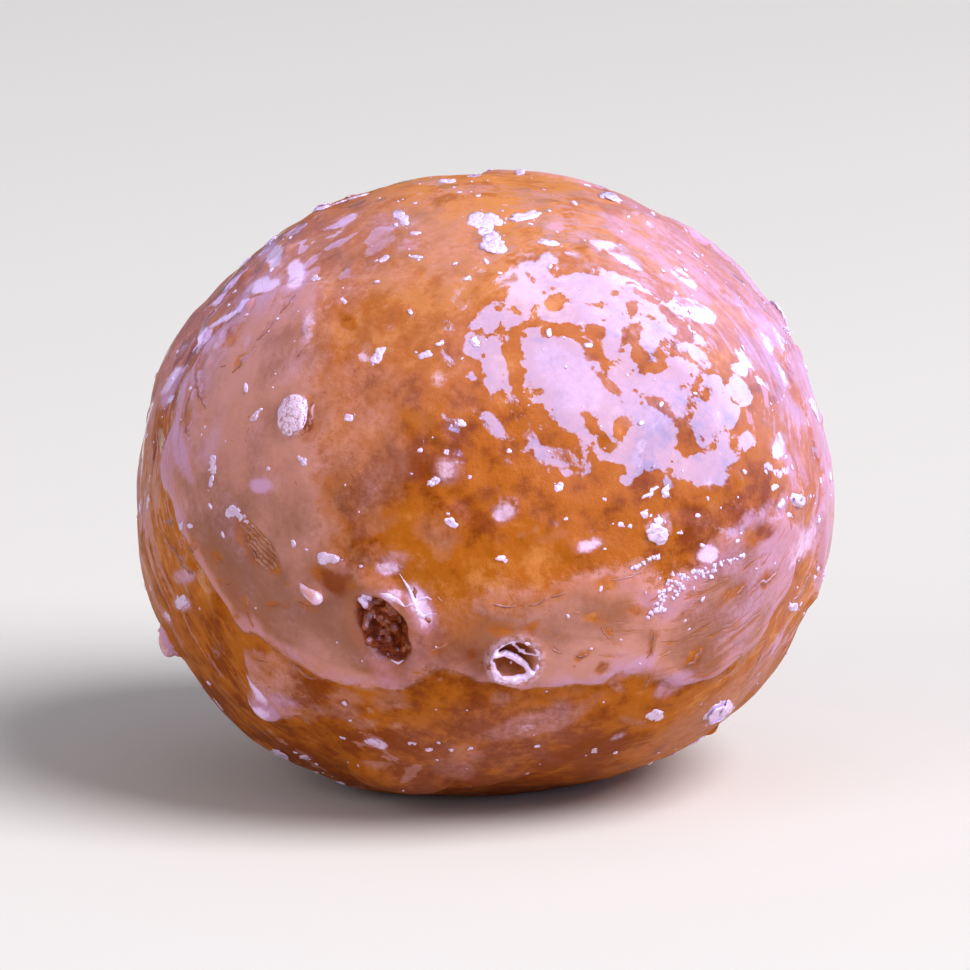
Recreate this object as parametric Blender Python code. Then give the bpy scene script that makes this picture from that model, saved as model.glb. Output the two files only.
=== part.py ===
"""One glazed doughnut hole: a fried ball of yeast dough, a little wider than tall, with a milky sugar glaze.

Metres, +Z up. The origin is the middle of the flat spot that the ball rests on, and -Y faces the viewer.
Directions are an azimuth, 0 towards the viewer and growing to the right, and an elevation, both in degrees.
"""
import math
import random

import bmesh
import bpy
import numpy as np
from mathutils import Vector, noise

MM = 0.001

# The ball
WIDTH = 36.8 * MM
DEPTH = 35.4 * MM
HEIGHT = 32.5 * MM
MEAN_RADIUS = (WIDTH + DEPTH + HEIGHT) / 6
ROUND_POWER = 2.0  # section of the upper half, where 2 is an ellipse
BASE_POWER = 2.14  # section of the lower half, fuller towards the corners
REST_CUT = 0.40 * MM  # how much of the ball's underside the flat spot takes off
REST_QUIET = (-82, -66)  # elevations between which the relief fades out towards the flat spot

# Broad swellings and hollows: azimuth, elevation, spread in degrees, height
SWELLINGS = [
    (-88, -22, 22, 0.35 * MM),
    (80, -44, 18, 0.15 * MM),
    (88, 14, 22, -0.70 * MM),
    (89, 31, 10, 0.15 * MM),
    (-97, 23, 11, 0.30 * MM),
    (-85, 34, 14, -0.45 * MM),
    (-76, -46, 15, 0.75 * MM),
    (-46, -58, 13, 0.40 * MM),
    (22, -62, 16, -0.40 * MM),
    (75, -22, 16, -0.25 * MM),
    (68, 38, 22, -0.45 * MM),
    (150, 20, 30, 0.55 * MM),
    (-150, -15, 26, 0.45 * MM),
    (178, -30, 22, -0.45 * MM),
    (-106, 53, 15, 0.32 * MM),
    (120, -35, 18, 0.40 * MM),
]

# Uneven crust, as wave length and height
UNEVENNESS = [
    (9.0 * MM, 0.42 * MM),
    (3.4 * MM, 0.13 * MM),
    (1.7 * MM, 0.05 * MM),
]

# Glaze
GLAZE_THICKNESS = 0.26 * MM
GLAZE_EDGE = 0.55 * MM  # how far the edge of a glaze run takes to rise
GLAZE_WANDER = [(5.5 * MM, 1.5 * MM), (1.9 * MM, 0.55 * MM)]  # how its outline strays

# Runs of milky glaze: azimuth, elevation, width, height, turn in degrees
GLAZE_RUNS = [
    (-46, 14, 13.5 * MM, 19.0 * MM, 8),
    (-29, -11.5, 15.0 * MM, 7.4 * MM, -12),
    (10, -13.5, 17.0 * MM, 7.2 * MM, 2),
    (44, -10, 12.0 * MM, 8.2 * MM, 28),
    (-41.5, -25.5, 4.6 * MM, 4.2 * MM, 20),
    (86, 8, 8.5 * MM, 15.0 * MM, -6),
    (128, 34, 17.0 * MM, 11.0 * MM, 24),
    (140, -24, 18.0 * MM, 7.0 * MM, -12),
    (-170, -8, 17.0 * MM, 7.5 * MM, 22),
    (-134, 36, 12.0 * MM, 7.0 * MM, -26),
    (-124, -16, 14.0 * MM, 10.0 * MM, 14),
    (150, 68, 9.0 * MM, 6.0 * MM, 0),
]

# Beads and tongues where the glaze gathered: azimuth, elevation, width, height, turn, rise
GLAZE_BEADS = [
    (-81, -25, 1.3 * MM, 2.1 * MM, -20, 0.52 * MM),
    (-48.9, -32.4, 1.7 * MM, 2.4 * MM, 20, 0.50 * MM),
    (-29.3, -7.4, 1.7 * MM, 1.0 * MM, -16, 0.40 * MM),
    (-26, -52, 5.6 * MM, 3.6 * MM, -8, 0.70 * MM),
    (2, -52, 4.0 * MM, 3.0 * MM, 30, 0.25 * MM),
    (57, -36.5, 2.0 * MM, 1.3 * MM, 35, 0.30 * MM),
    (112, -40, 1.7 * MM, 2.6 * MM, -10, 0.50 * MM),
    (160, -46, 1.4 * MM, 2.0 * MM, 8, 0.35 * MM),
    (-138, -38, 1.5 * MM, 2.3 * MM, -14, 0.50 * MM),
]

# Pits torn in the crust: azimuth, elevation, width, height, turn, depth
CRUST_PITS = [
    (-17.7, -12.9, 2.8 * MM, 4.3 * MM, 33, 0.95 * MM),
    (-40.8, -0.9, 2.0 * MM, 4.0 * MM, 58, 0.30 * MM),
    (148, -8, 3.4 * MM, 2.4 * MM, 12, 0.80 * MM),
    (-108, 4, 2.2 * MM, 4.2 * MM, -24, 0.55 * MM),
    (-164, 30, 2.6 * MM, 3.4 * MM, 40, 0.65 * MM),
    (104, 48, 3.6 * MM, 1.8 * MM, -18, 0.40 * MM),
]

# Bubbles that burst in the glaze: azimuth, elevation, width, rim height
BURST_BUBBLES = [
    (4.4, -18.0, 3.0 * MM, 0.24 * MM),
    (118, -14, 2.8 * MM, 0.22 * MM),
    (170, -18, 2.3 * MM, 0.20 * MM),
    (-132, 14, 2.6 * MM, 0.22 * MM),
    (-100, -26, 2.0 * MM, 0.18 * MM),
    (150, 60, 1.9 * MM, 0.16 * MM),
]

# Blisters that stayed whole: azimuth, elevation, width, height, turn, rise
BLISTERS = [
    (-36.0, 20.9, 2.0 * MM, 2.2 * MM, 0, 0.34 * MM),
    (-7, 14.7, 1.7 * MM, 1.6 * MM, 0, 0.22 * MM),
    (-6.8, 5.7, 2.3 * MM, 2.0 * MM, 30, 0.26 * MM),
    (3.1, 8.3, 1.3 * MM, 1.2 * MM, 0, 0.14 * MM),
    (28.8, 3.1, 1.6 * MM, 1.3 * MM, 0, 0.16 * MM),
    (61.7, 3.9, 1.2 * MM, 1.0 * MM, 0, 0.24 * MM),
    (110, 26, 2.0 * MM, 1.8 * MM, 10, 0.30 * MM),
    (156, 44, 1.8 * MM, 1.5 * MM, 0, 0.26 * MM),
    (-118, 30, 2.2 * MM, 1.7 * MM, 20, 0.32 * MM),
    (-174, -4, 1.9 * MM, 1.9 * MM, 0, 0.28 * MM),
]

# Lumps of set sugar, scattered over the whole ball
SUGAR_LUMPS = 70
SUGAR_SEED = 12
SUGAR_WIDTH = (0.9 * MM, 1.5 * MM)
SUGAR_RISE = (0.10 * MM, 0.24 * MM)

# Mesh
CELLS = 88  # cells along each side of the ball's six patches, before thinning
TRIANGLES = 11200  # what thinning leaves

# Crust's finish
CRUST_COLOUR = (0.50, 0.185, 0.050, 1.0)
CRUST_ROUGHNESS = 0.22


def clear_scene():
    for obj in list(bpy.data.objects):
        bpy.data.objects.remove(obj)


def towards(azimuth, elevation):
    """The unit vector of a direction."""
    a, e = math.radians(azimuth), math.radians(elevation)
    return np.array([math.sin(a) * math.cos(e), -math.cos(a) * math.cos(e), math.sin(e)])


def ease(value):
    """0 below 0, 1 above 1 and smooth between."""
    t = np.clip(value, 0, 1)
    return t * t * (3 - 2 * t)


def waves(points, length, offset):
    """Smooth noise of about -1 to 1 at each point, with features of that length."""
    shift = Vector((offset, offset * 0.37, -offset * 0.61))
    return np.array([noise.noise(Vector(p) / length + shift) for p in points])


def oval(directions, azimuth, elevation, width, height, turn=0):
    """How far each direction is from an oval on the ball: 0 at its middle and 1 on its edge."""
    middle = towards(azimuth, elevation)
    right = np.cross(middle, (0, 0, -1))
    right /= np.linalg.norm(right)
    up = np.cross(right, middle)
    up *= np.sign(up[2])
    right = np.cross(up, middle)
    across, along = directions @ right, directions @ up
    flat = np.hypot(across, along)
    arc = np.arctan2(flat, directions @ middle) * MEAN_RADIUS / np.maximum(flat, 1e-9)
    across, along = across * arc, along * arc
    c, s = math.cos(math.radians(turn)), math.sin(math.radians(turn))
    return np.hypot((across * c + along * s) / (width / 2), (along * c - across * s) / (height / 2))


def body_points(directions):
    """The plain ball: an ellipsoid that is fuller below."""
    scaled = directions / (np.array([WIDTH, DEPTH, HEIGHT]) / 2)
    ring = np.hypot(scaled[:, 0], scaled[:, 1])
    power = ROUND_POWER + (BASE_POWER - ROUND_POWER) * ease(-directions[:, 2] * 2.5)
    reach = (ring**power + np.abs(scaled[:, 2]) ** power) ** (-1 / power)
    return directions * reach[:, None]


def swelling_height(directions):
    height = np.zeros(len(directions))
    for azimuth, elevation, spread, rise in SWELLINGS:
        apart = np.degrees(np.arccos(np.clip(directions @ towards(azimuth, elevation), -1, 1)))
        height += rise * np.exp(-((apart / spread) ** 2))
    return height


def unevenness(points):
    height = np.zeros(len(points))
    for step, (length, rise) in enumerate(UNEVENNESS):
        height += rise * waves(points, length, 3.0 + 5 * step)
    return height


def glaze_cover(directions, points):
    """How much of the glaze's thickness each point has: 1 inside a run, 0 where the crust is bare."""
    inside = np.full(len(directions), -1.0)
    for azimuth, elevation, width, height, turn in GLAZE_RUNS:
        depth = (1 - oval(directions, azimuth, elevation, width, height, turn)) * min(width, height) / 2
        inside = np.maximum(inside, depth)
    for step, (length, stray) in enumerate(GLAZE_WANDER):
        inside += stray * waves(points, length, 20.0 + 7 * step)
    return ease(inside / GLAZE_EDGE)


def bead_height(directions):
    height = np.zeros(len(directions))
    for azimuth, elevation, width, tall, turn, rise in GLAZE_BEADS + BLISTERS:
        apart = oval(directions, azimuth, elevation, width, tall, turn)
        height = np.maximum(height, rise * np.sqrt(np.clip(1 - apart**2, 0, 1)))
    return height


def pit_height(directions, points):
    """Pits with a ragged outline, a raised lip and a rough floor."""
    ragged = 0.16 * waves(points, 0.9 * MM, 41.0)
    height = np.zeros(len(directions))
    for azimuth, elevation, width, tall, turn, depth in CRUST_PITS:
        apart = oval(directions, azimuth, elevation, width, tall, turn) + ragged
        height -= depth * ease((1.05 - apart) / 0.6)
        height += 0.18 * depth * np.exp(-(((apart - 1.25) / 0.28) ** 2))
    return height


def burst_height(directions):
    """Burst bubbles: a round crater with a thin standing rim."""
    height = np.zeros(len(directions))
    for azimuth, elevation, width, rise in BURST_BUBBLES:
        apart = oval(directions, azimuth, elevation, width, width)
        height += rise * np.exp(-(((apart - 0.86) / 0.17) ** 2))
        height -= 1.9 * rise * ease((0.78 - apart) / 0.3)
    return height


def sugar_height(directions):
    draw = random.Random(SUGAR_SEED)
    height = np.zeros(len(directions))
    for _ in range(SUGAR_LUMPS):
        azimuth = draw.uniform(-180, 180)
        elevation = math.degrees(math.asin(draw.uniform(-0.8, 1)))
        width = draw.uniform(*SUGAR_WIDTH)
        rise = draw.uniform(*SUGAR_RISE)
        height_share = draw.uniform(0.6, 1)
        apart = oval(directions, azimuth, elevation, width, width * height_share, draw.uniform(0, 180))
        height = np.maximum(height, rise * ease(1.2 - apart))
    return height


def ball_points(directions):
    """The whole surface, centred on the ball's own middle."""
    points = body_points(directions)
    cover = glaze_cover(directions, points)
    crust = unevenness(points) * (1 - 0.45 * cover)  # glaze evens out the crust that it covers
    height = swelling_height(directions) + crust + GLAZE_THICKNESS * cover
    height += np.maximum(bead_height(directions), sugar_height(directions))
    height += pit_height(directions, points) + burst_height(directions)
    quiet, lively = REST_QUIET
    height *= ease((np.degrees(np.arcsin(directions[:, 2])) - quiet) / (lively - quiet))
    return points + directions * height[:, None]


def cube_sphere(cells):
    """A closed mesh of six square patches, swollen to a unit sphere with cells of nearly one size."""
    ball = bmesh.new()
    bmesh.ops.create_cube(ball, size=2)
    bmesh.ops.subdivide_edges(ball, edges=ball.edges[:], cuts=cells - 1, use_grid_fill=True)
    for vert in ball.verts:
        vert.co = Vector([math.tan(c * math.pi / 4) for c in vert.co]).normalized()
    return ball


def stand_on_origin(ball):
    """Moves the flat spot's plane and the middle of the ball's outline to the origin."""
    lowest, highest = (
        Vector([pick(vert.co[axis] for vert in ball.verts) for axis in range(3)]) for pick in (min, max)
    )
    middle = (lowest + highest) / 2
    bmesh.ops.translate(ball, verts=ball.verts, vec=(-middle.x, -middle.y, -lowest.z - REST_CUT))


def crust_material():
    material = bpy.data.materials.new("glazed_crust")
    material.use_nodes = True
    shader = material.node_tree.nodes["Principled BSDF"]
    shader.inputs["Base Color"].default_value = CRUST_COLOUR
    shader.inputs["Roughness"].default_value = CRUST_ROUGHNESS
    shader.inputs["Metallic"].default_value = 0.0
    shader.inputs["Coat Weight"].default_value = 1.0
    return material


def add_object(name, shape):
    mesh = bpy.data.meshes.new(name)
    shape.to_mesh(mesh)
    shape.free()
    obj = bpy.data.objects.new(name, mesh)
    bpy.context.scene.collection.objects.link(obj)
    return obj


def thin_out(obj, triangles):
    """Collapses edges where the surface is plain, so that the relief keeps the small triangles."""
    obj.data.calc_loop_triangles()
    thinning = obj.modifiers.new("Thinning", "DECIMATE")
    thinning.decimate_type = "COLLAPSE"
    thinning.ratio = triangles / len(obj.data.loop_triangles)
    thinning.use_collapse_triangulate = True


def cut_flat_spot(obj):
    """Takes off what reaches below the origin's level, which leaves a small flat spot to rest on."""
    block = bmesh.new()
    bmesh.ops.create_cube(block, size=WIDTH)
    bmesh.ops.translate(block, verts=block.verts, vec=(0, 0, -WIDTH / 2))
    cutter = add_object("flat_spot_cutter", block)
    cutter.hide_render = True
    cutter.display_type = "WIRE"
    cut = obj.modifiers.new("Flat spot", "BOOLEAN")
    cut.operation = "DIFFERENCE"
    cut.object = cutter


def make_doughnut_hole():
    ball = cube_sphere(CELLS)
    directions = np.array([vert.co for vert in ball.verts])
    for vert, point in zip(ball.verts, ball_points(directions)):
        vert.co = point
    stand_on_origin(ball)
    obj = add_object("doughnut_hole", ball)
    obj.data.shade_smooth()
    obj.data.materials.append(crust_material())
    thin_out(obj, TRIANGLES)
    cut_flat_spot(obj)


def main():
    clear_scene()
    make_doughnut_hole()


main()
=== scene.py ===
import math
import random

import bmesh
import bpy
import numpy as np
from mathutils import Matrix, Vector, noise
from mathutils.bvhtree import BVHTree


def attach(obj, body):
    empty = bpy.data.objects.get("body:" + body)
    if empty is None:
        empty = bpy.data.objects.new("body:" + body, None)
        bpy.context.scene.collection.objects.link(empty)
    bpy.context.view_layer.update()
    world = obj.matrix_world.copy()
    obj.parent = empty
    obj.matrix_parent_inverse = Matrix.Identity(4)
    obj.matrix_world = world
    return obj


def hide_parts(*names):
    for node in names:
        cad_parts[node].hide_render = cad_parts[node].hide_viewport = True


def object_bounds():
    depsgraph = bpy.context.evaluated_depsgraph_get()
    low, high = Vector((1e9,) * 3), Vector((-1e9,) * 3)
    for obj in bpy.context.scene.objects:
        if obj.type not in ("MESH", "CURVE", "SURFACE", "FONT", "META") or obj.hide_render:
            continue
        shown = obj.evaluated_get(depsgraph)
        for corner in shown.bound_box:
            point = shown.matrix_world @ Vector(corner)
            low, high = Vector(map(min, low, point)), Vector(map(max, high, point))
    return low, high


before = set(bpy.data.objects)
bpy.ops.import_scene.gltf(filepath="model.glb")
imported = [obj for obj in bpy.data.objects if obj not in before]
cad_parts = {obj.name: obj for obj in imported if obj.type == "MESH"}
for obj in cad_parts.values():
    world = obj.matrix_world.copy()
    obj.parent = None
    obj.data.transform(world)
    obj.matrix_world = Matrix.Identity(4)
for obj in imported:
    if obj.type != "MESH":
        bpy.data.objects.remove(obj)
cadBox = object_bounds()
mm = 0.001

# The ball's form, as in the solid that it stands for
ball = {
    "width": 36.8,
    "depth": 35.4,
    "height": 32.5,
    "roundPower": 2.0,
    "basePower": 2.14,
    "restCut": 0.40,
    "restQuiet": (-82, -66),  # elevations between which the relief fades out
    "cells": 127,  # along each side of the six patches
    # azimuth, elevation, spread, height
    "swellings": [
        (-88, -22, 22, 0.35), (80, -44, 18, 0.15), (88, 14, 22, -0.7), (89, 31, 10, 0.15),
        (-97, 23, 11, 0.3), (-85, 34, 14, -0.45), (-76, -46, 15, 0.75), (-46, -58, 13, 0.4),
        (22, -62, 16, -0.4), (75, -22, 16, -0.25), (68, 38, 22, -0.45), (150, 20, 30, 0.55),
        (-150, -15, 26, 0.45), (178, -30, 22, -0.45), (-106, 53, 15, 0.32), (120, -35, 18, 0.4),
    ],
    "unevenness": [(9.0, 0.42), (3.4, 0.13), (1.7, 0.05)],  # wave length and height
    "ripples": [(2.6, 0.10), (1.2, 0.04), (0.7, 0.02)],  # in clear glaze, where it set unevenly
}
meanRadius = (ball["width"] + ball["depth"] + ball["height"]) / 6

glaze = {
    "thickness": 0.26,
    "edge": 0.55,  # over which it comes up to that
    "meltEdge": (-1.2, 2.4),  # the same where its edge melts away
    "wander": [(5.5, 1.5), (1.9, 0.55)],
    # azimuth, elevation, width, height, turn
    "runs": [
        (-46, 14, 13.5, 19, 8), (-29, -11.5, 15, 7.4, -12), (10, -13.5, 17, 7.2, 2),
        (44, -10, 12, 8.2, 28), (-41.5, -25.5, 4.6, 4.2, 20), (86, 8, 8.5, 15, -6),
        (128, 34, 17, 11, 24), (140, -24, 18, 7, -12), (-170, -8, 17, 7.5, 22),
        (-134, 36, 12, 7, -26), (-124, -16, 14, 10, 14), (150, 68, 9, 6, 0),
    ],
    # azimuth, elevation, width, height, turn, rise, milkiness
    "beads": [
        (-81, -25, 1.3, 2.1, -20, 0.52, 1), (-48.9, -32.4, 1.7, 2.4, 20, 0.5, 0),
        (-29.3, -7.4, 1.7, 1, -16, 0.4, 0), (-26, -52, 5.6, 3.6, -8, 0.7, 0.15),
        (2, -52, 4, 3, 30, 0.25, 0.1), (57, -36.5, 2, 1.3, 35, 0.3, 0.6),
        (112, -40, 1.7, 2.6, -10, 0.5, 0.7), (160, -46, 1.4, 2, 8, 0.35, 0.5),
        (-138, -38, 1.5, 2.3, -14, 0.5, 0.8),
    ],
}

# azimuth, elevation, width, height, turn, depth, how far the crumb shows
pits = [
    (-17.7, -12.9, 2.8, 4.3, 33, 0.95, 1), (-40.8, -0.9, 2, 4, 58, 0.3, 0),
    (148, -8, 3.4, 2.4, 12, 0.8, 0.9), (-108, 4, 2.2, 4.2, -24, 0.55, 0.6),
    (-164, 30, 2.6, 3.4, 40, 0.65, 0.9), (104, 48, 3.6, 1.8, -18, 0.4, 0.4),
]

pitShape = {
    "mouth": 1.05,
    "wall": 0.6,
    "rough": 0.5,
    # the raised lip, as shares of the pit's depth and width
    "lip": 0.18,
    "lipAt": 1.25,
    "lipWidth": 0.28,
}

# azimuth, elevation, width, rim height
bursts = [
    (4.4, -18, 3, 0.24), (118, -14, 2.8, 0.22), (170, -18, 2.3, 0.2), (-132, 14, 2.6, 0.22),
    (-100, -26, 2, 0.18), (150, 60, 1.9, 0.16),
]

burstShape = {"rimAt": 0.86, "rimWidth": 0.17, "mouth": 0.78, "wall": 0.3, "depth": 1.9}

# azimuth, elevation, width, height, turn, rise, whiteness
blisters = [
    (-36, 20.9, 2, 2.2, 0, 0.34, 1), (-7, 14.7, 1.7, 1.6, 0, 0.22, 0.3),
    (-6.8, 5.7, 2.3, 2, 30, 0.26, 0.3), (3.1, 8.3, 1.3, 1.2, 0, 0.14, 0.6),
    (28.8, 3.1, 1.6, 1.3, 0, 0.16, 0.8), (61.7, 3.9, 1.2, 1, 0, 0.24, 0.6),
    (110, 26, 2, 1.8, 10, 0.3, 0.9), (156, 44, 1.8, 1.5, 0, 0.26, 0.3),
    (-118, 30, 2.2, 1.7, 20, 0.32, 1), (-174, -4, 1.9, 1.9, 0, 0.28, 0.5),
]

sugarLumps = {"count": 70, "seed": 12, "width": (0.9, 1.5), "rise": (0.10, 0.24)}


def towards(azimuth, elevation):
    a, e = math.radians(azimuth), math.radians(elevation)
    return np.array([math.sin(a) * math.cos(e), -math.cos(a) * math.cos(e), math.sin(e)])


def ease(value):
    t = np.clip(value, 0, 1)
    return t * t * (3 - 2 * t)


def waves(points, length, offset):
    # noise of that wave length, where each offset gives another pattern
    shift = Vector((offset, offset * 0.37, -offset * 0.61))
    return np.array([noise.noise(Vector(p) / length + shift) for p in points])


def layered(points, layers, offset, stride=5):
    # noise of several wave lengths, each with its own height
    offsets = range(offset, offset + stride * len(layers), stride)
    return sum(rise * waves(points, length, at) for at, (length, rise) in zip(offsets, layers))


def axesAt(azimuth, elevation):
    # right, up and outwards at a place on the ball
    outwards = towards(azimuth, elevation)
    right = np.cross(outwards, (0, 0, -1))
    right /= np.linalg.norm(right)
    return right, np.cross(outwards, right), outwards


def spread(directions, azimuth, elevation):
    # each direction as millimetres to the right of and above a place on the ball
    right, up, middle = axesAt(azimuth, elevation)
    across, along = directions @ right, directions @ up
    flat = np.hypot(across, along)
    arc = np.arctan2(flat, directions @ middle) * meanRadius / np.maximum(flat, 1e-9)
    return across * arc, along * arc


def oval(directions, azimuth, elevation, width, height, turn=0):
    # how far each direction is from an oval on the ball: 0 at its middle and 1 on its edge
    across, along = spread(directions, azimuth, elevation)
    c, s = math.cos(math.radians(turn)), math.sin(math.radians(turn))
    return np.hypot((across * c + along * s) / (width / 2), (along * c - across * s) / (height / 2))


def zones(directions, places):
    # a sum of soft round zones: azimuth, elevation, spread in degrees, amount
    total = np.zeros(len(directions))
    for *place, reach, amount in places:
        apart = np.degrees(np.arccos(np.clip(directions @ towards(*place), -1, 1)))
        total += amount * np.exp(-((apart / reach) ** 2))
    return total


def bodyPoints(directions):
    scaled = directions / (np.array([ball["width"], ball["depth"], ball["height"]]) / 2)
    ring = np.hypot(scaled[:, 0], scaled[:, 1])
    power = ball["roundPower"] + (ball["basePower"] - ball["roundPower"]) * ease(-directions[:, 2] * 2.5)
    reach = (ring**power + np.abs(scaled[:, 2]) ** power) ** (-1 / power)
    return directions * reach[:, None]


def ovalDepth(directions, ovals):
    # millimetres inside the nearest of the ovals, negative outside
    inside = np.full(len(directions), -9.0)
    for place in ovals:
        depth = (1 - oval(directions, *place)) * min(place[2:4]) / 2
        inside = np.maximum(inside, depth)
    return inside


def glazeDepth(directions, points):
    return ovalDepth(directions, glaze["runs"]) + layered(points, glaze["wander"], 20, 7)


def domeHeight(directions, domes):
    height, white = np.zeros(len(directions)), np.zeros(len(directions))
    for *place, rise, whiteness in domes:
        apart = oval(directions, *place)
        dome = np.sqrt(np.clip(1 - apart**2, 0, 1))
        height = np.maximum(height, rise * dome)
        white = np.maximum(white, whiteness * ease(1.8 * dome))
    return height, white


def pitHeight(directions, points):
    ragged = 0.16 * waves(points, 0.9, 41.0)
    rough = waves(points, 0.7, 47.0)
    height, torn = np.zeros(len(directions)), np.zeros(len(directions))
    for *place, depth, bare in pits:
        apart = oval(directions, *place) + ragged
        inside = ease((pitShape["mouth"] - apart) / pitShape["wall"])
        height -= depth * inside * (1 + pitShape["rough"] * rough)
        lip = np.exp(-(((apart - pitShape["lipAt"]) / pitShape["lipWidth"]) ** 2))
        height += pitShape["lip"] * depth * lip
        torn = np.maximum(torn, bare * inside)
    return height, torn


def burstHeight(directions):
    height, rim = np.zeros(len(directions)), np.zeros(len(directions))
    for *place, width, rise in bursts:
        apart = oval(directions, *place, width, width)
        edge = np.exp(-(((apart - burstShape["rimAt"]) / burstShape["rimWidth"]) ** 2))
        height += rise * edge
        height -= burstShape["depth"] * rise * ease((burstShape["mouth"] - apart) / burstShape["wall"])
        rim = np.maximum(rim, edge)
    return height, rim


def sugarHeight(directions):
    draw = random.Random(sugarLumps["seed"])
    height = np.zeros(len(directions))
    for _ in range(sugarLumps["count"]):
        azimuth = draw.uniform(-180, 180)
        elevation = math.degrees(math.asin(draw.uniform(-0.8, 1)))
        width = draw.uniform(*sugarLumps["width"])
        rise = draw.uniform(*sugarLumps["rise"])
        tall, turn = width * draw.uniform(0.6, 1), draw.uniform(0, 180)
        apart = oval(directions, azimuth, elevation, width, tall, turn)
        height = np.maximum(height, rise * ease(1.2 - apart))
    return height


def keepInside(mesh):
    # flattens whatever sticks out of the solid's box
    places = np.empty(len(mesh.vertices) * 3)
    mesh.vertices.foreach_get("co", places)
    places = np.clip(places.reshape(-1, 3), *cadBox)
    mesh.vertices.foreach_set("co", places.ravel())


def link(name, data):
    obj = bpy.data.objects.new(name, data)
    bpy.context.scene.collection.objects.link(obj)
    return obj


def cubeSphere(cells):
    shape = bmesh.new()
    bmesh.ops.create_cube(shape, size=2)
    bmesh.ops.subdivide_edges(shape, edges=shape.edges[:], cuts=cells - 1, use_grid_fill=True)
    for vert in shape.verts:
        vert.co = Vector([math.tan(c * math.pi / 4) for c in vert.co]).normalized()
    return shape


# Where the look changes over the ball: azimuth, elevation, spread, amount
looks = {
    # darker (-) or paler (+) crust; the dark zones underneath and beside the pit are painted shade, and the
    # pale zones on top are painted light
    "toneAndShade": [
        (-10, 16, 12, -0.45), (2, 3, 16, -0.35), (2, -4, 12, 0.42), (44, 2, 13, -0.55),
        (-4, -16, 9, -0.45), (-21, 8, 7, -0.5), (30, 26, 20, -0.2), (-2, -27, 12, -0.2),
        (24, -44, 20, -0.55), (-25, -5, 5, -0.8), (52, -36, 12, 0.35), (-24, -32, 14, -0.25),
        (-40, -62, 30, -0.7), (-24, 50, 26, 0.05), (0, 74, 26, 0.75), (60, 50, 18, 0.3),
        (-58, -24, 14, -0.25), (120, 10, 30, -0.25), (165, 55, 26, 0.5), (-150, 20, 26, 0.3),
        (-120, -40, 28, -0.5), (175, -34, 28, -0.6),
    ],
    # dull (-) or mirror-smooth (+) clear glaze
    "gloss": [
        (-30, -48, 34, -1.6), (40, -44, 34, -1.4), (-95, -10, 26, -0.8), (16, 2, 14, -0.25),
        (50, 2, 10, -0.3), (66, -10, 14, -0.3), (80, 5, 12, -0.5), (-80, 52, 14, -0.22),
        (64, 46, 14, -0.22), (-4, 20, 6, -0.3), (95, 62, 18, -0.6), (60, 84, 14, -0.5),
        (-105, 60, 14, -0.5), (160, -50, 40, -0.3), (-120, -50, 40, -0.3),
    ],
    # thinner, browner (-) or whiter (+) milky glaze; the dark zones beside the scar and around the pit are
    # painted shade
    "milkToneAndShade": [
        (-58, 24, 22, 0.35), (-46, -6, 12, -0.8), (-34, -12, 12, -0.6), (-12, -16, 12, -0.6),
        (-17, -20, 6, -0.8), (-4, -16, 8, -0.9), (-30, -20, 7, 0.5), (12, -14, 12, -0.15),
        (20, -18, 7, 0.5), (42, -10, 16, -0.75), (70, 10, 14, -0.4), (-120, 20, 30, 0.3),
        (140, 30, 30, 0.3),
    ],
    # lilac rather than pink: partly the glaze's own tint, partly painted reflection of cool light on the
    # flanks and the upper right
    "lilacAndSheen": [
        (-52, 2, 8, 0.4), (-68, 18, 12, 0.35), (-88, 0, 14, 0.5), (-76, 40, 16, 0.6), (50, -6, 12, 0.45),
        (72, 14, 22, 0.9), (66, 44, 20, 0.9), (70, -22, 14, 0.4), (10, -36, 8, 0.3), (130, 20, 34, 0.3),
        (-140, 10, 34, 0.1), (180, -20, 26, 0.1),
    ],
    # where the glaze's edge melts away instead of ending sharply
    "melt": [
        (-14, 22, 18, 1), (-24, 40, 16, 0.8), (0, 0, 15, 1), (-20, 7, 10, 0.9), (-40, -25, 7, 0.8),
        (36, 4, 10, 0.7), (66, -22, 14, 0.6), (70, 30, 22, 0.8), (-14, -44, 15, 1), (150, 20, 26, 0.8),
        (-100, -20, 24, 0.8), (180, 0, 24, 0.7), (-140, 36, 22, 0.9), (130, -28, 20, 0.5),
        (150, 66, 16, 0.6),
    ],
    # share of broken, patchy veil
    "patch": [
        (78, 18, 20, 0.06), (66, -10, 14, 0.04), (-80, 6, 22, 0.5), (-64, 42, 16, 0.42),
        (-56, -26, 14, -0.4), (-10, 74, 24, 0.2), (40, 66, 22, 0.34), (-24, -35, 11, 0.12),
        (-10, 10, 14, -0.45), (-4, 38, 12, -0.3), (-21, 8, 7, -0.3), (0, 1, 13, -0.5),
        (44, 1, 13, -0.75), (-2, -28, 13, -0.5), (26, -42, 20, -0.65), (120, 30, 30, 0.45),
        (160, -20, 26, 0.3), (-150, 20, 30, 0.4), (-110, -20, 24, 0.35),
    ],
}

# The glaze was drawn out into streaks that curve around the large pool of clear glaze
streaks = {
    "around": (25, 28),
    "width": 0.85,
    "fineWidth": 0.42,
    "length": 2.4,
    "wander": 4,  # how soon they change along their way
    # azimuth, elevation, spread, amount
    "places": [
        (80, 20, 26, 1.2), (64, 50, 18, 1), (66, -16, 18, 0.8), (-84, 10, 22, 0.9), (-62, -28, 18, 1),
        (-74, 2, 14, 0.8), (44, -14, 18, 0.9), (14, -14, 12, 0.25), (20, 66, 26, 0.7), (-50, 50, 22, 0.6),
        (50, -42, 20, 0.6), (44, 5, 9, -0.5), (170, 0, 60, 0.5),
    ],
}
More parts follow.
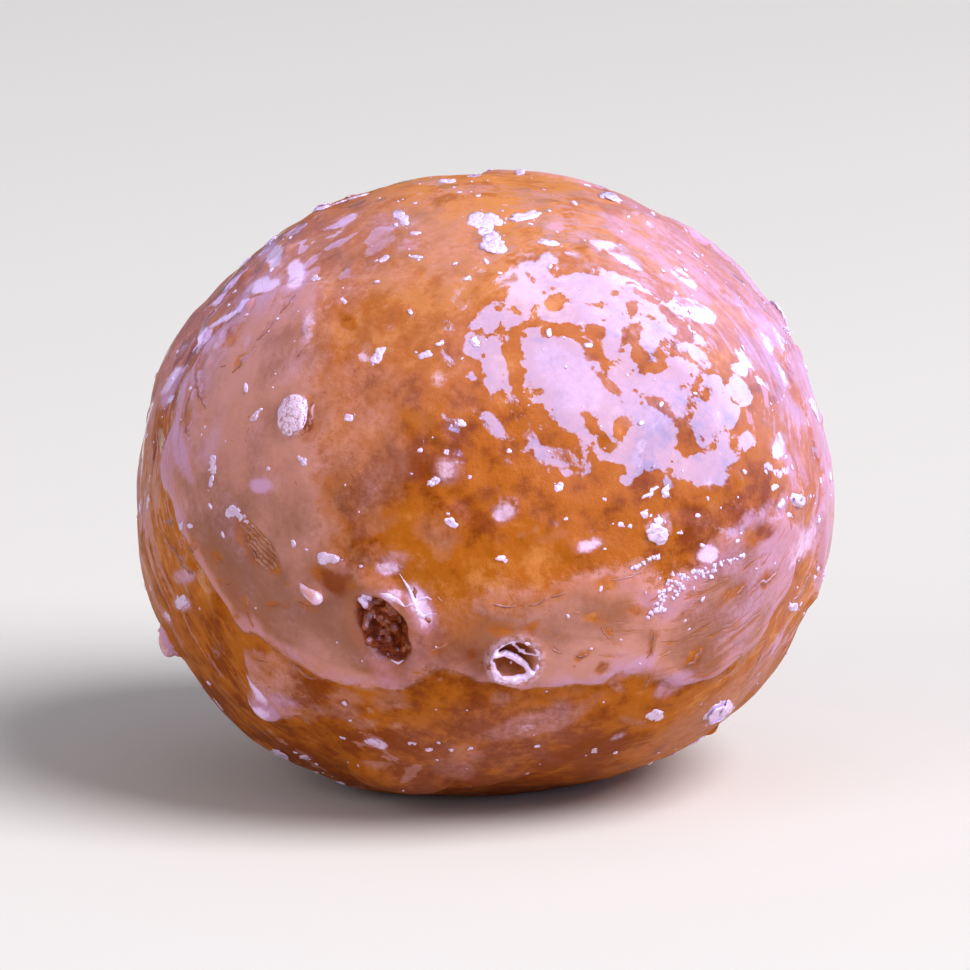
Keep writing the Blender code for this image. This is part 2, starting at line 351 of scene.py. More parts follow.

# Thin veils of milky sugar, some of them painted highlights and painted reflections: azimuth, elevation,
# width, height, turn, strength, how lilac
veilsAndSheen = [
    (-48, 56, 18, 10, 20, 0.45, 0.1), (-24, 36, 12, 14, 0, 0.18, 0.1), (-25, 20, 6, 9, 0, 0.46, 0.05),
    # these two lilac veils on the upper right and right are partly painted reflection of cool light at the
    # grazing edge
    (64, 46, 16, 14, -30, 0.24, 0.5), (68, 8, 7, 16, 0, 0.18, 0.4),
    (-29.1, -30.8, 2, 1.4, 9, 0.45, 0.1), (-18.6, -26.7, 2, 1.1, 30, 0.45, 0.1),
    (-37.3, -32.3, 1.7, 0.7, 30, 0.4, 0.1), (-25.6, -33.5, 1.4, 0.7, 14, 0.5, 0.1),
    (-26.4, -26.9, 1.4, 1, -15, 0.45, 0.1), (2, -26.1, 1, 0.8, 0, 0.5, 0.2),
    (7.4, -32.8, 4.8, 2.4, 30, 0.42, 0.5), (-3, -40, 12, 7, 30, 0.13, 0),
    # these two veils lighten the large highlight: painted highlight
    (16, 29.3, 4.8, 2.8, -64, 0.4, 0.9), (28, 24, 5, 2.4, -20, 0.3, 0.9),
    (58, -34, 9, 5, 40, 0.4, 0.2), (110, 50, 20, 14, 0, 0.5, 0.4), (150, 0, 18, 16, 0, 0.4, 0.4),
    (-160, 44, 18, 14, 0, 0.5, 0.3), (-110, 14, 16, 20, 0, 0.4, 0.4), (-170, -30, 18, 10, 0, 0.3, 0.4),
    # smaller ones seen from the front
    (-11.1, -7.7, 1.9, 1.1, -66, 0.8, 0.9), (-10.4, -10.2, 1.5, 1.1, 86, 0.85, 0.9),
    (-15.8, -6.6, 1.3, 0.87, 16, 0.6, 0.5), (-16.6, -2.2, 1.5, 0.8, 5, 0.6, 0.8),
    (-20.4, -7.9, 1, 0.8, 62, 0.7, 0.5), (-49.2, -32.6, 1.7, 1.5, 20, 0.95, 1),
    (-48, -28, 1.5, 0.4, -58, 0.95, 1), (-40.8, -0.9, 3.4, 1.5, -31, 0.35, 0.1),
    # the bright lilac veils at (-70.6, 41.9), (-57.2, 46) and (-41.8, 37.6) are painted highlights on glaze
    # ridges
    (-70.6, 41.9, 3.7, 1.6, 27, 0.9, 0.9), (-57.2, 46, 3.1, 1.3, -32, 0.95, 0.9),
    (-41.8, 37.6, 2.9, 0.89, -64, 0.5, 0.6), (-78.9, 18.8, 2.7, 2.3, 55, 0.9, 0.8),
    (-95.2, 47.1, 5.5, 1.3, 4, 0.9, 0.8), (-46.1, 63.4, 3, 1.6, -10, 0.65, 0.4),
    (-27.6, 57.8, 1.4, 1.2, -21, 0.55, 0.5), (-7.4, 31.5, 1.4, 1.2, 48, 0.3, 0.2),
    (-21.6, 22.2, 1, 0.86, -9, 0.4, 0.5), (-35.8, 45.5, 0.75, 0.47, 14, 0.5, 0.2),
    (-34.4, 30.8, 0.64, 0.4, -2, 0.5, 0.2), (-55.3, 31.5, 0.81, 0.5, -62, 0.5, 0.7),
    (-25, 32.6, 0.8, 0.62, -11, 0.45, 0.5), (-15.6, 17.8, 1.3, 0.74, 22, 0.35, 0.2),
    (-7, 13.8, 1.5, 1.3, 2, 0.5, 0.6), (-63, 12.1, 4.7, 1.3, -39, 0.5, 0.9),
    (-40.2, 8.8, 1.5, 0.7, 7, 0.6, 0.9), (-61.1, -9.7, 2.6, 0.85, 16, 0.7, 0.6),
    (-41.7, -29.4, 1.7, 0.95, -1, 0.5, 0.8), (-39.5, -22, 2.2, 1.5, -4, 0.3, 0.2),
    (-15.4, -0.3, 1.7, 0.57, 2, 0.5, 0.5), (-8.4, 3.9, 2.1, 1.6, -28, 0.25, 0.1),
    (-34.3, -30.9, 1.2, 0.74, -37, 0.5, 0.1), (-29.4, -27.3, 1.3, 0.52, 10, 0.5, 0.2),
    (-17.8, -25.2, 1.4, 0.64, -4, 0.5, 0.2), (-16.5, -27.9, 1.6, 0.46, 4, 0.45, 0.2),
    (-25.5, -38.8, 1.1, 1.1, 26, 0.7, 0.5), (-27.4, -32.8, 1.4, 0.4, -8, 0.5, 0.2),
    (-18.8, -33.5, 0.83, 0.4, 14, 0.5, 0.2), (-28.4, -45.7, 2.2, 0.4, 4, 0.5, 0.2),
    (-7.7, -44.3, 4.4, 2.5, 83, 0.35, 0.1), (-65.2, -15.4, 2.1, 0.69, 16, 0.8, 0.6),
    (-73.8, -19.2, 1.3, 0.85, -8, 0.7, 0.4), (-18.2, 8.8, 1.1, 0.61, 60, 0.35, 0.2),
    # the lilac veils on the upper right, down to (63.7, 30.1), are partly painted reflection of cool light
    # at the grazing edge
    (-19.7, 4, 2.5, 0.71, 23, 0.3, 0), (57.9, 58.6, 4.4, 2.9, -78, 0.6, 0.8),
    (58.3, 52.8, 3.8, 1.8, -84, 0.6, 0.9), (77.4, 54.7, 3.5, 2.5, -74, 0.55, 0.8),
    (29.3, 64.1, 1.4, 0.88, 44, 0.6, 0.8), (34, 60.8, 2.4, 1.2, 20, 0.5, 0.7),
    (75.1, 48.8, 2.8, 2.3, 57, 0.5, 0.8), (60.7, 42.5, 2.3, 1.7, -51, 0.6, 0.8),
    (81.4, 43.3, 4.7, 1.7, 51, 0.5, 0.7), (78.7, 31.4, 3.2, 2, 66, 0.6, 0.8),
    (71, 25.1, 4, 1.7, 65, 0.6, 0.9), (70.9, 16.1, 2.9, 1.4, -56, 0.5, 0.7),
    (57.8, 12.4, 1.9, 1.3, -11, 0.6, 0.8), (65, 7.9, 2.2, 0.95, -70, 0.5, 0.6),
    (79.7, 5.4, 3.8, 1.1, -52, 0.6, 0.7), (63.7, 30.1, 1.7, 1.2, 53, 0.5, 0.7),
    (2.3, 7.2, 1.1, 1, 1, 0.8, 0.9), (16.2, 1.2, 1.5, 0.69, 14, 0.7, 0.7),
    (10, 2.9, 1.6, 0.44, 13, 0.3, 0.2), (37.9, -2.2, 1.4, 0.94, -6, 0.7, 0.8),
    (64.3, -5.2, 5.5, 2.5, 3, 0.6, 0.9), (54.4, 2.9, 2, 0.76, 41, 0.6, 0.8),
    (50.5, 3.1, 1.7, 0.7, 30, 0.5, 0.7), (44, -2.1, 2.2, 0.96, -12, 0.4, 0.4),
    (60.3, 8.1, 1.9, 1.3, 84, 0.6, 0.8), (82.9, 1.2, 3.4, 0.84, -70, 0.7, 0.7),
    (72.1, -3.5, 3.4, 0.98, 73, 0.6, 0.6), (66.1, -23.4, 1.6, 1.2, -72, 0.7, 0.6),
    (48.8, -12.8, 2.2, 1, 36, 0.5, 0.7), (35.4, -25.5, 2.3, 1.4, 44, 0.5, 0.8),
    (26.2, -20.6, 2.4, 1, 35, 0.5, 0.6), (15.7, -30.8, 3.8, 1.1, 43, 0.4, 0.2),
    (1.7, -26.4, 0.8, 0.72, -77, 0.35, 0.1), (45.7, -23.8, 2.2, 1.3, -79, 0.3, 0.2),
    (45.7, -36.1, 1.8, 0.4, -27, 0.3, 0.2), (30.2, -33.5, 2, 0.4, -25, 0.4, 0.2),
    (23.3, -24.3, 1.3, 0.4, -43, 0.5, 0.3),
]

# Where it set nearly white, and painted highlights on glaze ridges at the upper left and on the white drip
# at the lower left: azimuth, elevation, width, height, turn, strength
bloomsAndGlints = [
    (-49.2, -32.6, 1.5, 1.3, 20, 1), (-48, -28, 1.7, 0.55, -58, 1),
    (-11.3, -7.4, 1.7, 0.7, -66, 0.8), (-10.3, -10, 1.3, 0.7, 86, 0.65),
    (-15.8, -6.6, 1, 0.6, 16, 0.6), (-16.6, -2.2, 1.3, 0.6, 5, 0.6), (-58.1, 46.2, 3.3, 1, -32, 1),
    (-68.5, 42, 3.4, 1.3, 11, 1), (-81.2, 48, 4, 1.1, -5, 1), (-76, 33, 2.8, 0.6, 36, 1),
    (-79.4, 28.2, 2.7, 0.45, -22, 0.9), (-40.9, 36.7, 2.4, 0.8, -60, 0.5),
    (-80.9, 19.7, 2.8, 1.4, 49, 0.8), (-25.7, 32.4, 0.9, 0.7, -27, 0.6), (2.3, 7.2, 1.1, 1, 1, 0.6),
    (37.9, -2.2, 1.3, 0.9, -6, 0.8), (16.2, 1.2, 1.4, 0.7, 14, 0.7), (64.3, -5.2, 4.5, 1.8, 3, 0.6),
    (-7, 13.8, 1.2, 1, 2, 0.5), (7.6, -33.4, 2.4, 0.8, 30, 0.3), (-24.4, -39.3, 1, 0.8, 44, 0.7),
]

# Bare places in the milky glaze, two of them painted shadows: azimuth, elevation, length, width, turn
gapsAndShadows = [
    (-40.8, -0.9, 3.5, 1.6, -31), (-27.3, 8.9, 1.8, 0.79, 82), (-49.9, -15.4, 1.7, 0.61, 21),
    (-62.8, 32.1, 2.1, 1.3, -15), (20.8, -4.4, 2.4, 0.69, 14), (17.3, -10.6, 1.4, 0.75, -17),
    (25.4, -10.5, 1.1, 0.67, 9), (52.4, -8.4, 1.9, 0.66, 9), (-3.1, -17.1, 0.66, 0.43, 33),
    (48.9, -0.1, 2.2, 1.1, 2), (59.6, 1.1, 1.6, 0.71, -12), (-53.8, -16.6, 2.4, 1.1, -65),
    (23.3, -24.3, 0.99, 0.72, -59), (61.4, 47.3, 2.7, 1.5, -14), (72.2, 40.6, 2.1, 1.1, -23),
    (72, 56.9, 2.1, 0.81, 2), (52.5, 58.3, 1, 0.79, -21), (55, 35.4, 2.4, 1, -63),
    # the bare crescent at (-33.3, 20.5) beside the blister and the arc at (4.4, -12.2) above the burst
    # bubble are painted shadows
    (-33.3, 20.5, 2.5, 1.6, 84), (-33.1, 39.3, 4.1, 1.4, -39), (-64.7, 32, 3.2, 1.1, -6),
    (-25.4, -5.4, 2.3, 1.3, -15), (4.4, -12.2, 2.5, 0.6, 0),
]

# Fine cracks where the brown crust shows through the glaze: azimuth, elevation, length, width, turn
cracks = {
    "brown": (172, 96, 54),
    "dark": (136, 70, 36),
    "rise": 0.02,
    "places": [
        # the first, at (-32.9, 20.5), is a dark strip hugging the blister's side: a painted shadow
        (-32.9, 20.5, 2, 0.4, 84), (-50.3, 40, 1.6, 0.43, 84), (-51.6, 34.4, 1.8, 0.23, 70),
        (-54.4, 27.1, 1.2, 0.28, 66), (-58.5, 26.4, 0.67, 0.21, 24), (-39.4, 31.3, 0.72, 0.22, 66),
        (-64.5, 23.5, 5, 0.38, -42), (-63, 17, 2.6, 0.43, -61), (-49.2, -4.5, 0.96, 0.24, -28),
        (-48.1, -8.3, 1, 0.15, -1), (-37.7, -10.5, 1.3, 0.14, 16), (-39.6, -18.5, 2.2, 0.3, -37),
        (-34.9, -22.2, 2.1, 0.46, -39), (-44.4, -21.2, 1.7, 0.25, -13), (-43.5, -13.1, 1.6, 0.24, -77),
        (-63, -5.5, 3.4, 0.52, -22), (-60, -7.4, 2.1, 0.64, -14), (-56.1, -3.9, 1.4, 0.47, 18),
        (-63.9, -0.9, 1.4, 0.47, 13), (-8.3, -15.3, 1.1, 0.27, 25), (-8.7, -22, 0.43, 0.25, 27),
        (-12.3, -6.1, 0.84, 0.36, 74), (-14.4, -1.9, 0.38, 0.3, -4), (-8.1, -7.2, 0.61, 0.23, -45),
        (-10, -10.5, 0.48, 0.38, 10), (-31.3, -9.5, 1.2, 0.22, -12), (28.4, -16.4, 1.9, 0.32, 84),
        (38.1, -20.3, 1.4, 0.47, 58), (31.7, -18.6, 0.74, 0.29, 24), (29.5, -24.2, 1.5, 0.25, 87),
        (15.8, -17.5, 0.78, 0.29, 10), (19.7, -20, 0.68, 0.35, 45), (11.5, -16.4, 0.91, 0.16, -32),
        (19.6, -13.6, 1.1, 0.14, -50), (41.9, -10, 1.1, 0.23, 54), (45.2, -9.2, 0.86, 0.22, 41),
        (52.4, -8.4, 1.7, 0.44, 12), (8, -7.7, 1.3, 0.28, 25), (11.1, -6.6, 0.94, 0.26, 20),
        (2.5, -8, 1.4, 0.23, -7), (14.4, -9.6, 0.49, 0.15, -3), (23.3, -3.8, 2.4, 0.16, 14),
        (59.3, -25, 2.6, 0.48, 83), (68.3, -13.6, 2.5, 0.54, 40), (132, 26, 1.8, 0.2, 30),
        (122, 38, 1.4, 0.2, -20), (150, -18, 1.6, 0.25, 60), (-140, 34, 2, 0.25, 20),
        (-150, 40, 1.4, 0.2, -30), (-120, -12, 1.8, 0.25, -50), (-172, 12, 2.2, 0.25, 10),
        (176, 0, 1.6, 0.2, 40), (-118, -22, 1.2, 0.2, 10),
    ],
}

gloss = {
    "plain": -0.10,  # above 0 more of the clear glaze is mirror-smooth, below 0 more of it is dull
    # azimuth, elevation, length, width and turn of smooth shards, and of dull islands in them
    "shards": [
        (11.7, 52, 2.2, 1.3, 47), (8.1, 45.6, 3.3, 1.3, 63), (0.6, 40.2, 0.9, 0.5, 66),
        (-3.1, 36.4, 0.6, 0.6, 12), (1.6, 32.8, 2.3, 1.2, 84), (24.8, 47, 3.1, 1.7, -13),
        (38.6, 45.3, 3.3, 1.2, -50), (20.2, 41.7, 2.9, 1.1, -8), (10.4, 33.8, 2.7, 1.3, -80),
        (16, 29.3, 4.9, 3, -64), (22.8, 21.4, 6.2, 2.5, -18), (35.9, 25.6, 3.9, 2.7, 31),
        (27.3, 27.7, 2.5, 2, 10), (27.9, 37.8, 3.6, 0.9, 60), (36.1, 34.5, 2.8, 1.3, 41),
        (0.3, 21.8, 2.3, 0.7, -43), (12, 16, 2.3, 0.8, -17), (25.5, 15.8, 4.4, 1.6, -14),
        (45.1, 30.9, 1.3, 0.7, -58), (42.2, 19.9, 2.5, 1.4, 17), (51.8, 22.9, 1.4, 1.3, 90),
        (55.6, 38.5, 2.2, 1.3, -4), (61, 45.9, 2, 1.2, -76), (48.6, 15, 1.2, 0.6, 7),
        (58.1, 12.5, 2.4, 0.9, 18), (44.6, 53.9, 2.7, 1.4, -73), (53.9, 40.6, 3, 1.2, -11),
        (38.3, 12.1, 4, 1.2, 5), (42.6, 15.3, 1.2, 0.5, 46), (46.8, 36.5, 2.4, 0.5, -72),
        (0.2, 35.8, 1.1, 0.7, 2), (6.6, 21.4, 2.8, 0.3, -65), (46.4, 22.4, 1, 0.3, 31),
        (74.9, 30.1, 2, 0.9, 40), (61, 28, 1.5, 1.2, -31), (69.4, 23.5, 1.9, 1.6, -75),
        (68.3, 20, 1.3, 1.1, 15),
    ],
    "islands": [
        (15.5, 44.2, 1.6, 1, 42), (12.7, 38.6, 1, 0.8, 28), (22.9, 37.7, 1.4, 0.9, 28),
        (21.3, 33.8, 1.1, 0.9, 50), (22.8, 28.2, 1.7, 0.6, -55), (31, 32, 1.4, 0.8, 82),
        (32.9, 29.7, 1.5, 0.5, 4), (31.5, 23.4, 1.8, 0.6, -43), (18.2, 21.4, 1.2, 0.5, -56),
        (23.8, 20.2, 1.1, 0.7, 43), (34.9, 41.7, 1.3, 0.6, 44), (32.3, 45.3, 0.7, 0.4, 6),
        (5, 31.7, 4.3, 0.8, -80), (37.9, 33.7, 1.3, 0.5, 35), (6.5, 42.3, 0.9, 0.3, -18),
        (41.8, 26, 2.7, 0.4, 47), (45, 37.5, 2.4, 0.8, -72), (29.2, 36.4, 2, 0.4, 64),
        (38.4, 25.7, 0.3, 0.2, 6), (40.3, 43.7, 1.8, 0.2, -41), (11.7, 49.3, 0.9, 0.2, -66),
    ],
    "raggedness": [(1.1, 0.16), (0.5, 0.14)],
    "swell": 0.18,
    # places elsewhere where it set in one smooth pool
    "pools": [
        (128, 12, 8, 9, 20), (-150, 44, 9, 8, -10), (-112, 8, 7, 9, 30),
        (-176, -14, 7, 6, 0),
    ],
    "wholeness": 0.30,
    "ringWidth": 1.25,
    "ringLength": 1.5,
}


def glossField(directions, points, swirl):
    field = 0.9 * waves(points + swirl, 1.9, 120.0) + 0.55 * waves(points, 0.85, 121.0) + gloss["plain"]
    for step, place in enumerate(gloss["pools"]):
        apart = oval(directions, *place)
        near = np.flatnonzero(apart < 3.2)
        across, along = spread(directions[near], *place[:2])
        across, along = across + 0.9 * swirl[near, 0], along + 0.9 * swirl[near, 2]
        reach, around = np.hypot(across, along), np.arctan2(along, across)
        ways = [np.cos(around) * gloss["ringLength"], np.sin(around) * gloss["ringLength"]]
        rings = np.stack([reach / gloss["ringWidth"], *ways], 1)
        arcs = 1.25 * waves(rings, 1.0, 130.0 + step) + 0.4 * waves(rings, 0.4, 140.0 + step)
        apart = apart[near] + 0.25 * waves(points[near], 1.8, 150.0)
        fade = ease((3.2 - apart) / 1.2)
        inside = ease((1.1 - apart) / 0.25)
        field[near] = field[near] * (1 - 0.65 * fade) + arcs * fade
        field[near] += inside * gloss["wholeness"] - 0.55 * np.exp(-(((apart - 1.28) / 0.2) ** 2))
    ragged = sum(stray * waves(points, length, 160.0 + length) for length, stray in gloss["raggedness"])
    field = np.maximum(field, ovalDepth(directions, gloss["shards"]) + ragged + gloss["swell"])
    return np.minimum(field, ragged - ovalDepth(directions, gloss["islands"]))


def coverOf(depth, melt):
    # how full the milky glaze lies: its edge is steep, or melts away
    sharp = ease(1.4 - 1.8 * melt)
    low, high = glaze["meltEdge"]
    return sharp * ease(depth / glaze["edge"]) + (1 - sharp) * ease((depth - low) / (high - low))


def bareDepth(directions, points):
    # millimetres inside a gap, a crack or the mouth of a burst bubble; two of the gaps are painted shadows
    mouths = [(*place, width * 0.72, width * 0.72, 0) for *place, width, _ in bursts]
    grooves = [(*place, length, 2 * width, turn) for *place, length, width, turn in cracks["places"]]
    bare = ovalDepth(directions, gapsAndShadows + mouths) + 0.3 * waves(points, 0.9, 25.0)
    return np.maximum(bare, ovalDepth(directions, grooves) + 0.12 * waves(points, 0.6, 26.0) - 0.05)


def reliefOf(directions, points, swirl, cover):
    # how far the skin stands out from the plain ball, and the looks that come with it
    crust = layered(points, ball["unevenness"], 3)
    ripple = layered(points + swirl, ball["ripples"], 70)
    height = zones(directions, ball["swellings"]) + crust * (1 - 0.45 * cover) + glaze["thickness"] * cover
    height += ripple * (1 - 0.6 * cover)
    beads, cream = domeHeight(directions, glaze["beads"])
    bubbles, frost = domeHeight(directions, blisters)
    height += np.maximum(np.maximum(beads, bubbles), sugarHeight(directions))
    pitted, torn = pitHeight(directions, points)
    burst, rim = burstHeight(directions)
    height += pitted + burst
    quiet, lively = ball["restQuiet"]
    height *= ease((np.degrees(np.arcsin(directions[:, 2])) - quiet) / (lively - quiet))
    return height, {"torn": torn, "frost": np.maximum(frost, rim), "cream": cream}


def veilAndSheenFields(directions, points, swirl):
    # strength of the veils, how lilac they are, and the near-white blooms, all of them partly painted
    # highlights and reflections
    veilAndSheen, lilacAndSheen, bloomAndGlint = np.zeros((3, len(directions)))
    ragged = 0.35 * waves(points + swirl, 1.5, 34.0) + 0.2 * waves(points, 0.6, 35.0)
    for *place, strength, purple in veilsAndSheen:
        apart = oval(directions, *place)
        sheer = strength * ease((1.4 - apart - ragged) / 0.8)
        veilAndSheen, lilacAndSheen = np.maximum(veilAndSheen, sheer), np.maximum(lilacAndSheen, 1.6 * sheer * purple)
    for *place, strength in bloomsAndGlints:
        apart = oval(directions, *place)
        bloomAndGlint = np.maximum(bloomAndGlint, strength * ease((1.35 - apart - 1.1 * ragged) / 0.8))
    return veilAndSheen * (1 + 0.6 * waves(points + swirl, 2.6, 33.0)), lilacAndSheen, bloomAndGlint


def patchFields(directions, points, swirl):
    # patches of broken veil, drawn out where there are streaks, and how streaky it is
    patch = 0.8 * waves(points + swirl, 1.8, 31.0) + 0.5 * waves(points, 0.8, 32.0)
    across, along = spread(directions, *streaks["around"])
    reach, around = np.hypot(across, along), np.arctan2(along, across)
    ways = [np.cos(around) * streaks["wander"], np.sin(around) * streaks["wander"]]
    rings = np.stack([reach / streaks["width"], *ways], 1)
    streaky = np.clip(zones(directions, streaks["places"]), 0, 1)
    return patch * (1 - 0.7 * streaky) + 0.9 * streaky * waves(rings, 1.0, 36.0) - 0.35, streaky


def lookFields(directions, points, swirl):
    # what the glazed crust's material reads at each point of the skin
    toneAndShade = 0.5 * waves(points + swirl, 3.2, 11.0) + 0.45 * waves(points, 1.2, 12.0)
    toneAndShade += 0.3 * waves(points, 0.6, 13.0)
    crown = ease((directions[:, 2] - 0.84) / 0.1)
    toneAndShade += 0.6 * crown * waves(points * (0.25, 0.25, 2.6) + swirl * 0.3, 1.0, 14.0)
    veilAndSheen, veilLilacAndSheen, bloomAndGlint = veilAndSheenFields(directions, points, swirl)
    patch, streaky = patchFields(directions, points, swirl)
    lilacAndSheen = 0.5 * waves(points + swirl, 2.2, 53.0) + zones(directions, looks["lilacAndSheen"])
    fields = {
        "toneAndShade": toneAndShade,
        "patch": patch,
        "milkToneAndShade": 0.6 * waves(points, 4.0, 51.0) + 0.5 * waves(points, 1.5, 52.0),
        "gloss": glossField(directions, points, swirl),
    }
    fields = {name: values + zones(directions, looks[name]) for name, values in fields.items()}
    return fields | {
        "melt": zones(directions, looks["melt"]),
        "glazeDepth": glazeDepth(directions, points),
        "bare": bareDepth(directions, points),
        "lilacAndSheen": np.maximum(lilacAndSheen, veilLilacAndSheen),
        "veilAndSheen": veilAndSheen,
        "bloomAndGlint": bloomAndGlint,
        "streaky": streaky,
    }


def makeSkin():
    shape = cubeSphere(ball["cells"])
    directions = np.array([vert.co for vert in shape.verts])
    points = bodyPoints(directions)
    swirl = np.stack([waves(points, 4.0, 60.0 + 9 * axis) for axis in range(3)], 1) * 1.6
    fields = lookFields(directions, points, swirl)
    cover = coverOf(fields["glazeDepth"], fields["melt"])
    height, reliefLooks = reliefOf(directions, points, swirl, cover)
    points = points + directions * height[:, None]
    middle = (points.min(0) + points.max(0)) / 2
    shift = np.array([middle[0], middle[1], points[:, 2].min() + ball["restCut"]])
    points -= shift
    points[:, 2] = np.maximum(points[:, 2], 0)  # the flat spot
    for vert, point in zip(shape.verts, points * mm):
        vert.co = point
    mesh = bpy.data.meshes.new("glazedBall")
    shape.to_mesh(mesh)
    shape.free()
    keepInside(mesh)
    for name, values in (fields | reliefLooks).items():
        mesh.attributes.new(name, "FLOAT", "POINT").data.foreach_set("value", values.astype(np.float32))
    mesh.shade_smooth()
    return link("glazedBall", mesh), Vector(-shift)


# Shaders

class Recipe:
    # builds a material's nodes, with places in millimetres
    def __init__(self, name):
        self.material = bpy.data.materials.new(name)
        self.material.use_nodes = True
        self.tree = self.material.node_tree
        self.shader = self.tree.nodes["Principled BSDF"]
        coordinates = self.tree.nodes.new("ShaderNodeTexCoord").outputs["Object"]
        self.place = self.vector("SCALE", coordinates, Scale=1 / mm)

    def put(self, kind, outlet, settings=None, inputs=None):
        made = self.tree.nodes.new("ShaderNode" + kind)
        for name, value in (settings or {}).items():
            setattr(made, name, value)
        for name, value in (inputs or {}).items():
            if isinstance(value, bpy.types.NodeSocket):
                self.tree.links.new(value, made.inputs[name])
            else:
                made.inputs[name].default_value = value
        return made.outputs[outlet]

    def vector(self, operation, a, b=None, **inputs):
        inputs = {0: a, **({} if b is None else {1: b}), **inputs}
        return self.put("VectorMath", 0, {"operation": operation}, inputs)

    def sum(self, *values):
        total = values[0]
        for value in values[1:]:
            total = self.put("Math", 0, {"operation": "ADD"}, {0: total, 1: value})
        return total

    def times(self, *values):
        total = values[0]
        for value in values[1:]:
            total = self.put("Math", 0, {"operation": "MULTIPLY"}, {0: total, 1: value})
        return total

    def less(self, a, b):
        return self.put("Math", 0, {"operation": "SUBTRACT"}, {0: a, 1: b})

    def most(self, a, b):
        return self.put("Math", 0, {"operation": "MAXIMUM"}, {0: a, 1: b})

    def field(self, name):
        return self.put("Attribute", "Fac", {"attribute_name": name})

    def slope(self, value, low, high, toLow=0.0, toHigh=1.0):
        # eases from toLow to toHigh as value goes from low to high
        settings = {"interpolation_type": "SMOOTHSTEP"}
        inputs = {"Value": value, "From Min": low, "From Max": high, "To Min": toLow, "To Max": toHigh}
        return self.put("MapRange", "Result", settings, inputs)

    def clouds(self, size, detail=2.0, rough=0.5, warp=0.0, place=None):
        inputs = {"Vector": place or self.place, "Scale": 1 / size, "Detail": detail, "Roughness": rough}
        return self.put("TexNoise", "Fac", None, {**inputs, "Distortion": warp})

    def grain(self, *layers, place=None):
        # clouds around zero
        return self.less(self.clouds(*layers, place=place), 0.5)

    def stray(self, size, reach, place=None):
        # the place, pushed about by noise of that size
        inputs = {"Vector": place or self.place, "Scale": 1 / size, "Detail": 2.0}
        push = self.put("TexNoise", "Color", None, inputs)
        push = self.vector("SUBTRACT", push, (0.5, 0.5, 0.5))
        return self.vector("ADD", place or self.place, self.vector("SCALE", push, Scale=reach * 2))

    def cells(self, size, outlet="Distance", feature="F1", place=None, randomness=1.0):
        inputs = {"Vector": place or self.place, "Scale": 1 / size, "Randomness": randomness}
        return self.put("TexVoronoi", outlet, {"feature": feature}, inputs)

    def spots(self, size, radius, share, place=None, soft=0.25):
        # round spots in a share of the cells, of random size up to radius
        apart = self.cells(size, place=place)
        luck = self.put("SeparateColor", "Red", None, {"Color": apart.node.outputs["Color"]})
        reach = self.slope(luck, 1 - share, 1.0, 0.0, radius / size)
        return self.slope(self.less(reach, apart), 0.0, soft * radius / size)

    def rings(self, azimuth, elevation, width, length, place=None):
        # the place as seen from a direction on the ball: how far out, and which way around
        out = self.vector("NORMALIZE", self.vector("SUBTRACT", place or self.place, tuple(ballMiddle)))
        x, y, z = (
            self.put("VectorMath", "Value", {"operation": "DOT_PRODUCT"}, {0: out, 1: tuple(axis)})
            for axis in axesAt(azimuth, elevation)
        )
        reach = self.put("Math", 0, {"operation": "ARCCOSINE"}, {0: z})
        around = self.put("Math", 0, {"operation": "ARCTAN2"}, {0: y, 1: x})
        ways = [self.put("Math", 0, {"operation": turn}, {0: around}) for turn in ("COSINE", "SINE")]
        steps = [self.times(reach, meanRadius / width)]
        steps += [self.times(way, 0.7 * meanRadius / length) for way in ways]
        return self.put("CombineXYZ", 0, None, dict(zip("XYZ", steps)))

    def stretched(self, place, scale):
        return self.put("Mapping", 0, {"vector_type": "POINT"}, {"Vector": place, "Scale": scale})

    def mix(self, amount, a, b):
        return self.put("Mix", 0, {"data_type": "FLOAT"}, {0: amount, 2: a, 3: b})

    def blend(self, amount, a, b):
        return self.put("Mix", 2, {"data_type": "RGBA"}, {0: amount, 6: a, 7: b})

    def finish(self, relief=None, **inputs):
        # relief is a height in millimetres
        if relief is not None:
            normal = self.put("Bump", "Normal", None, {"Height": relief, "Distance": mm, "Strength": 1})
            inputs = {"Normal": normal, "Coat Normal": normal, **inputs}
        for name, value in inputs.items():
            socket = self.shader.inputs[name.replace("_", " ")]
            if isinstance(value, bpy.types.NodeSocket):
                self.tree.links.new(value, socket)
            else:
                socket.default_value = value
        return self.material


def twoToneMaterial(name, grain, between, low, high, relief=None, **inputs):
    # one colour in the hollows of a fine grain and another on its crests
    r = Recipe(name)
    crests = r.grain(*grain)
    surface = r.blend(r.slope(crests, *between), low, high)
    return r.finish(relief=relief and r.times(crests, relief), Base_Color=surface, **inputs)


def colour(red, green, blue):
    # a colour as a screen shows it, 0 to 255, as the shader reads it
    shares = [shade / 255 for shade in (red, green, blue)]
    return (*(c / 12.92 if c < 0.0404 else ((c + 0.055) / 1.055) ** 2.4 for c in shares), 1.0)


glazedCrust = {
    "darkCrust": colour(132, 59, 7),
    "midCrust": colour(178, 97, 19),
    "paleCrust": colour(206, 130, 66),
    "speckle": colour(214, 139, 86),
    "tornCrumb": colour(100, 36, 13),
    "tornLight": colour(150, 70, 32),
    "milk": colour(204, 143, 134),
    "milkShade": colour(152, 100, 84),
    # lilac milk: the glaze's own tint, and also painted reflection of cool light
    "lilacMilkAndSheen": colour(208, 158, 196),
    # the white of set sugar, which also serves for painted highlights
    "sugarWhiteAndGlint": colour(236, 202, 244),
    "coatRoughness": 0.06,
}


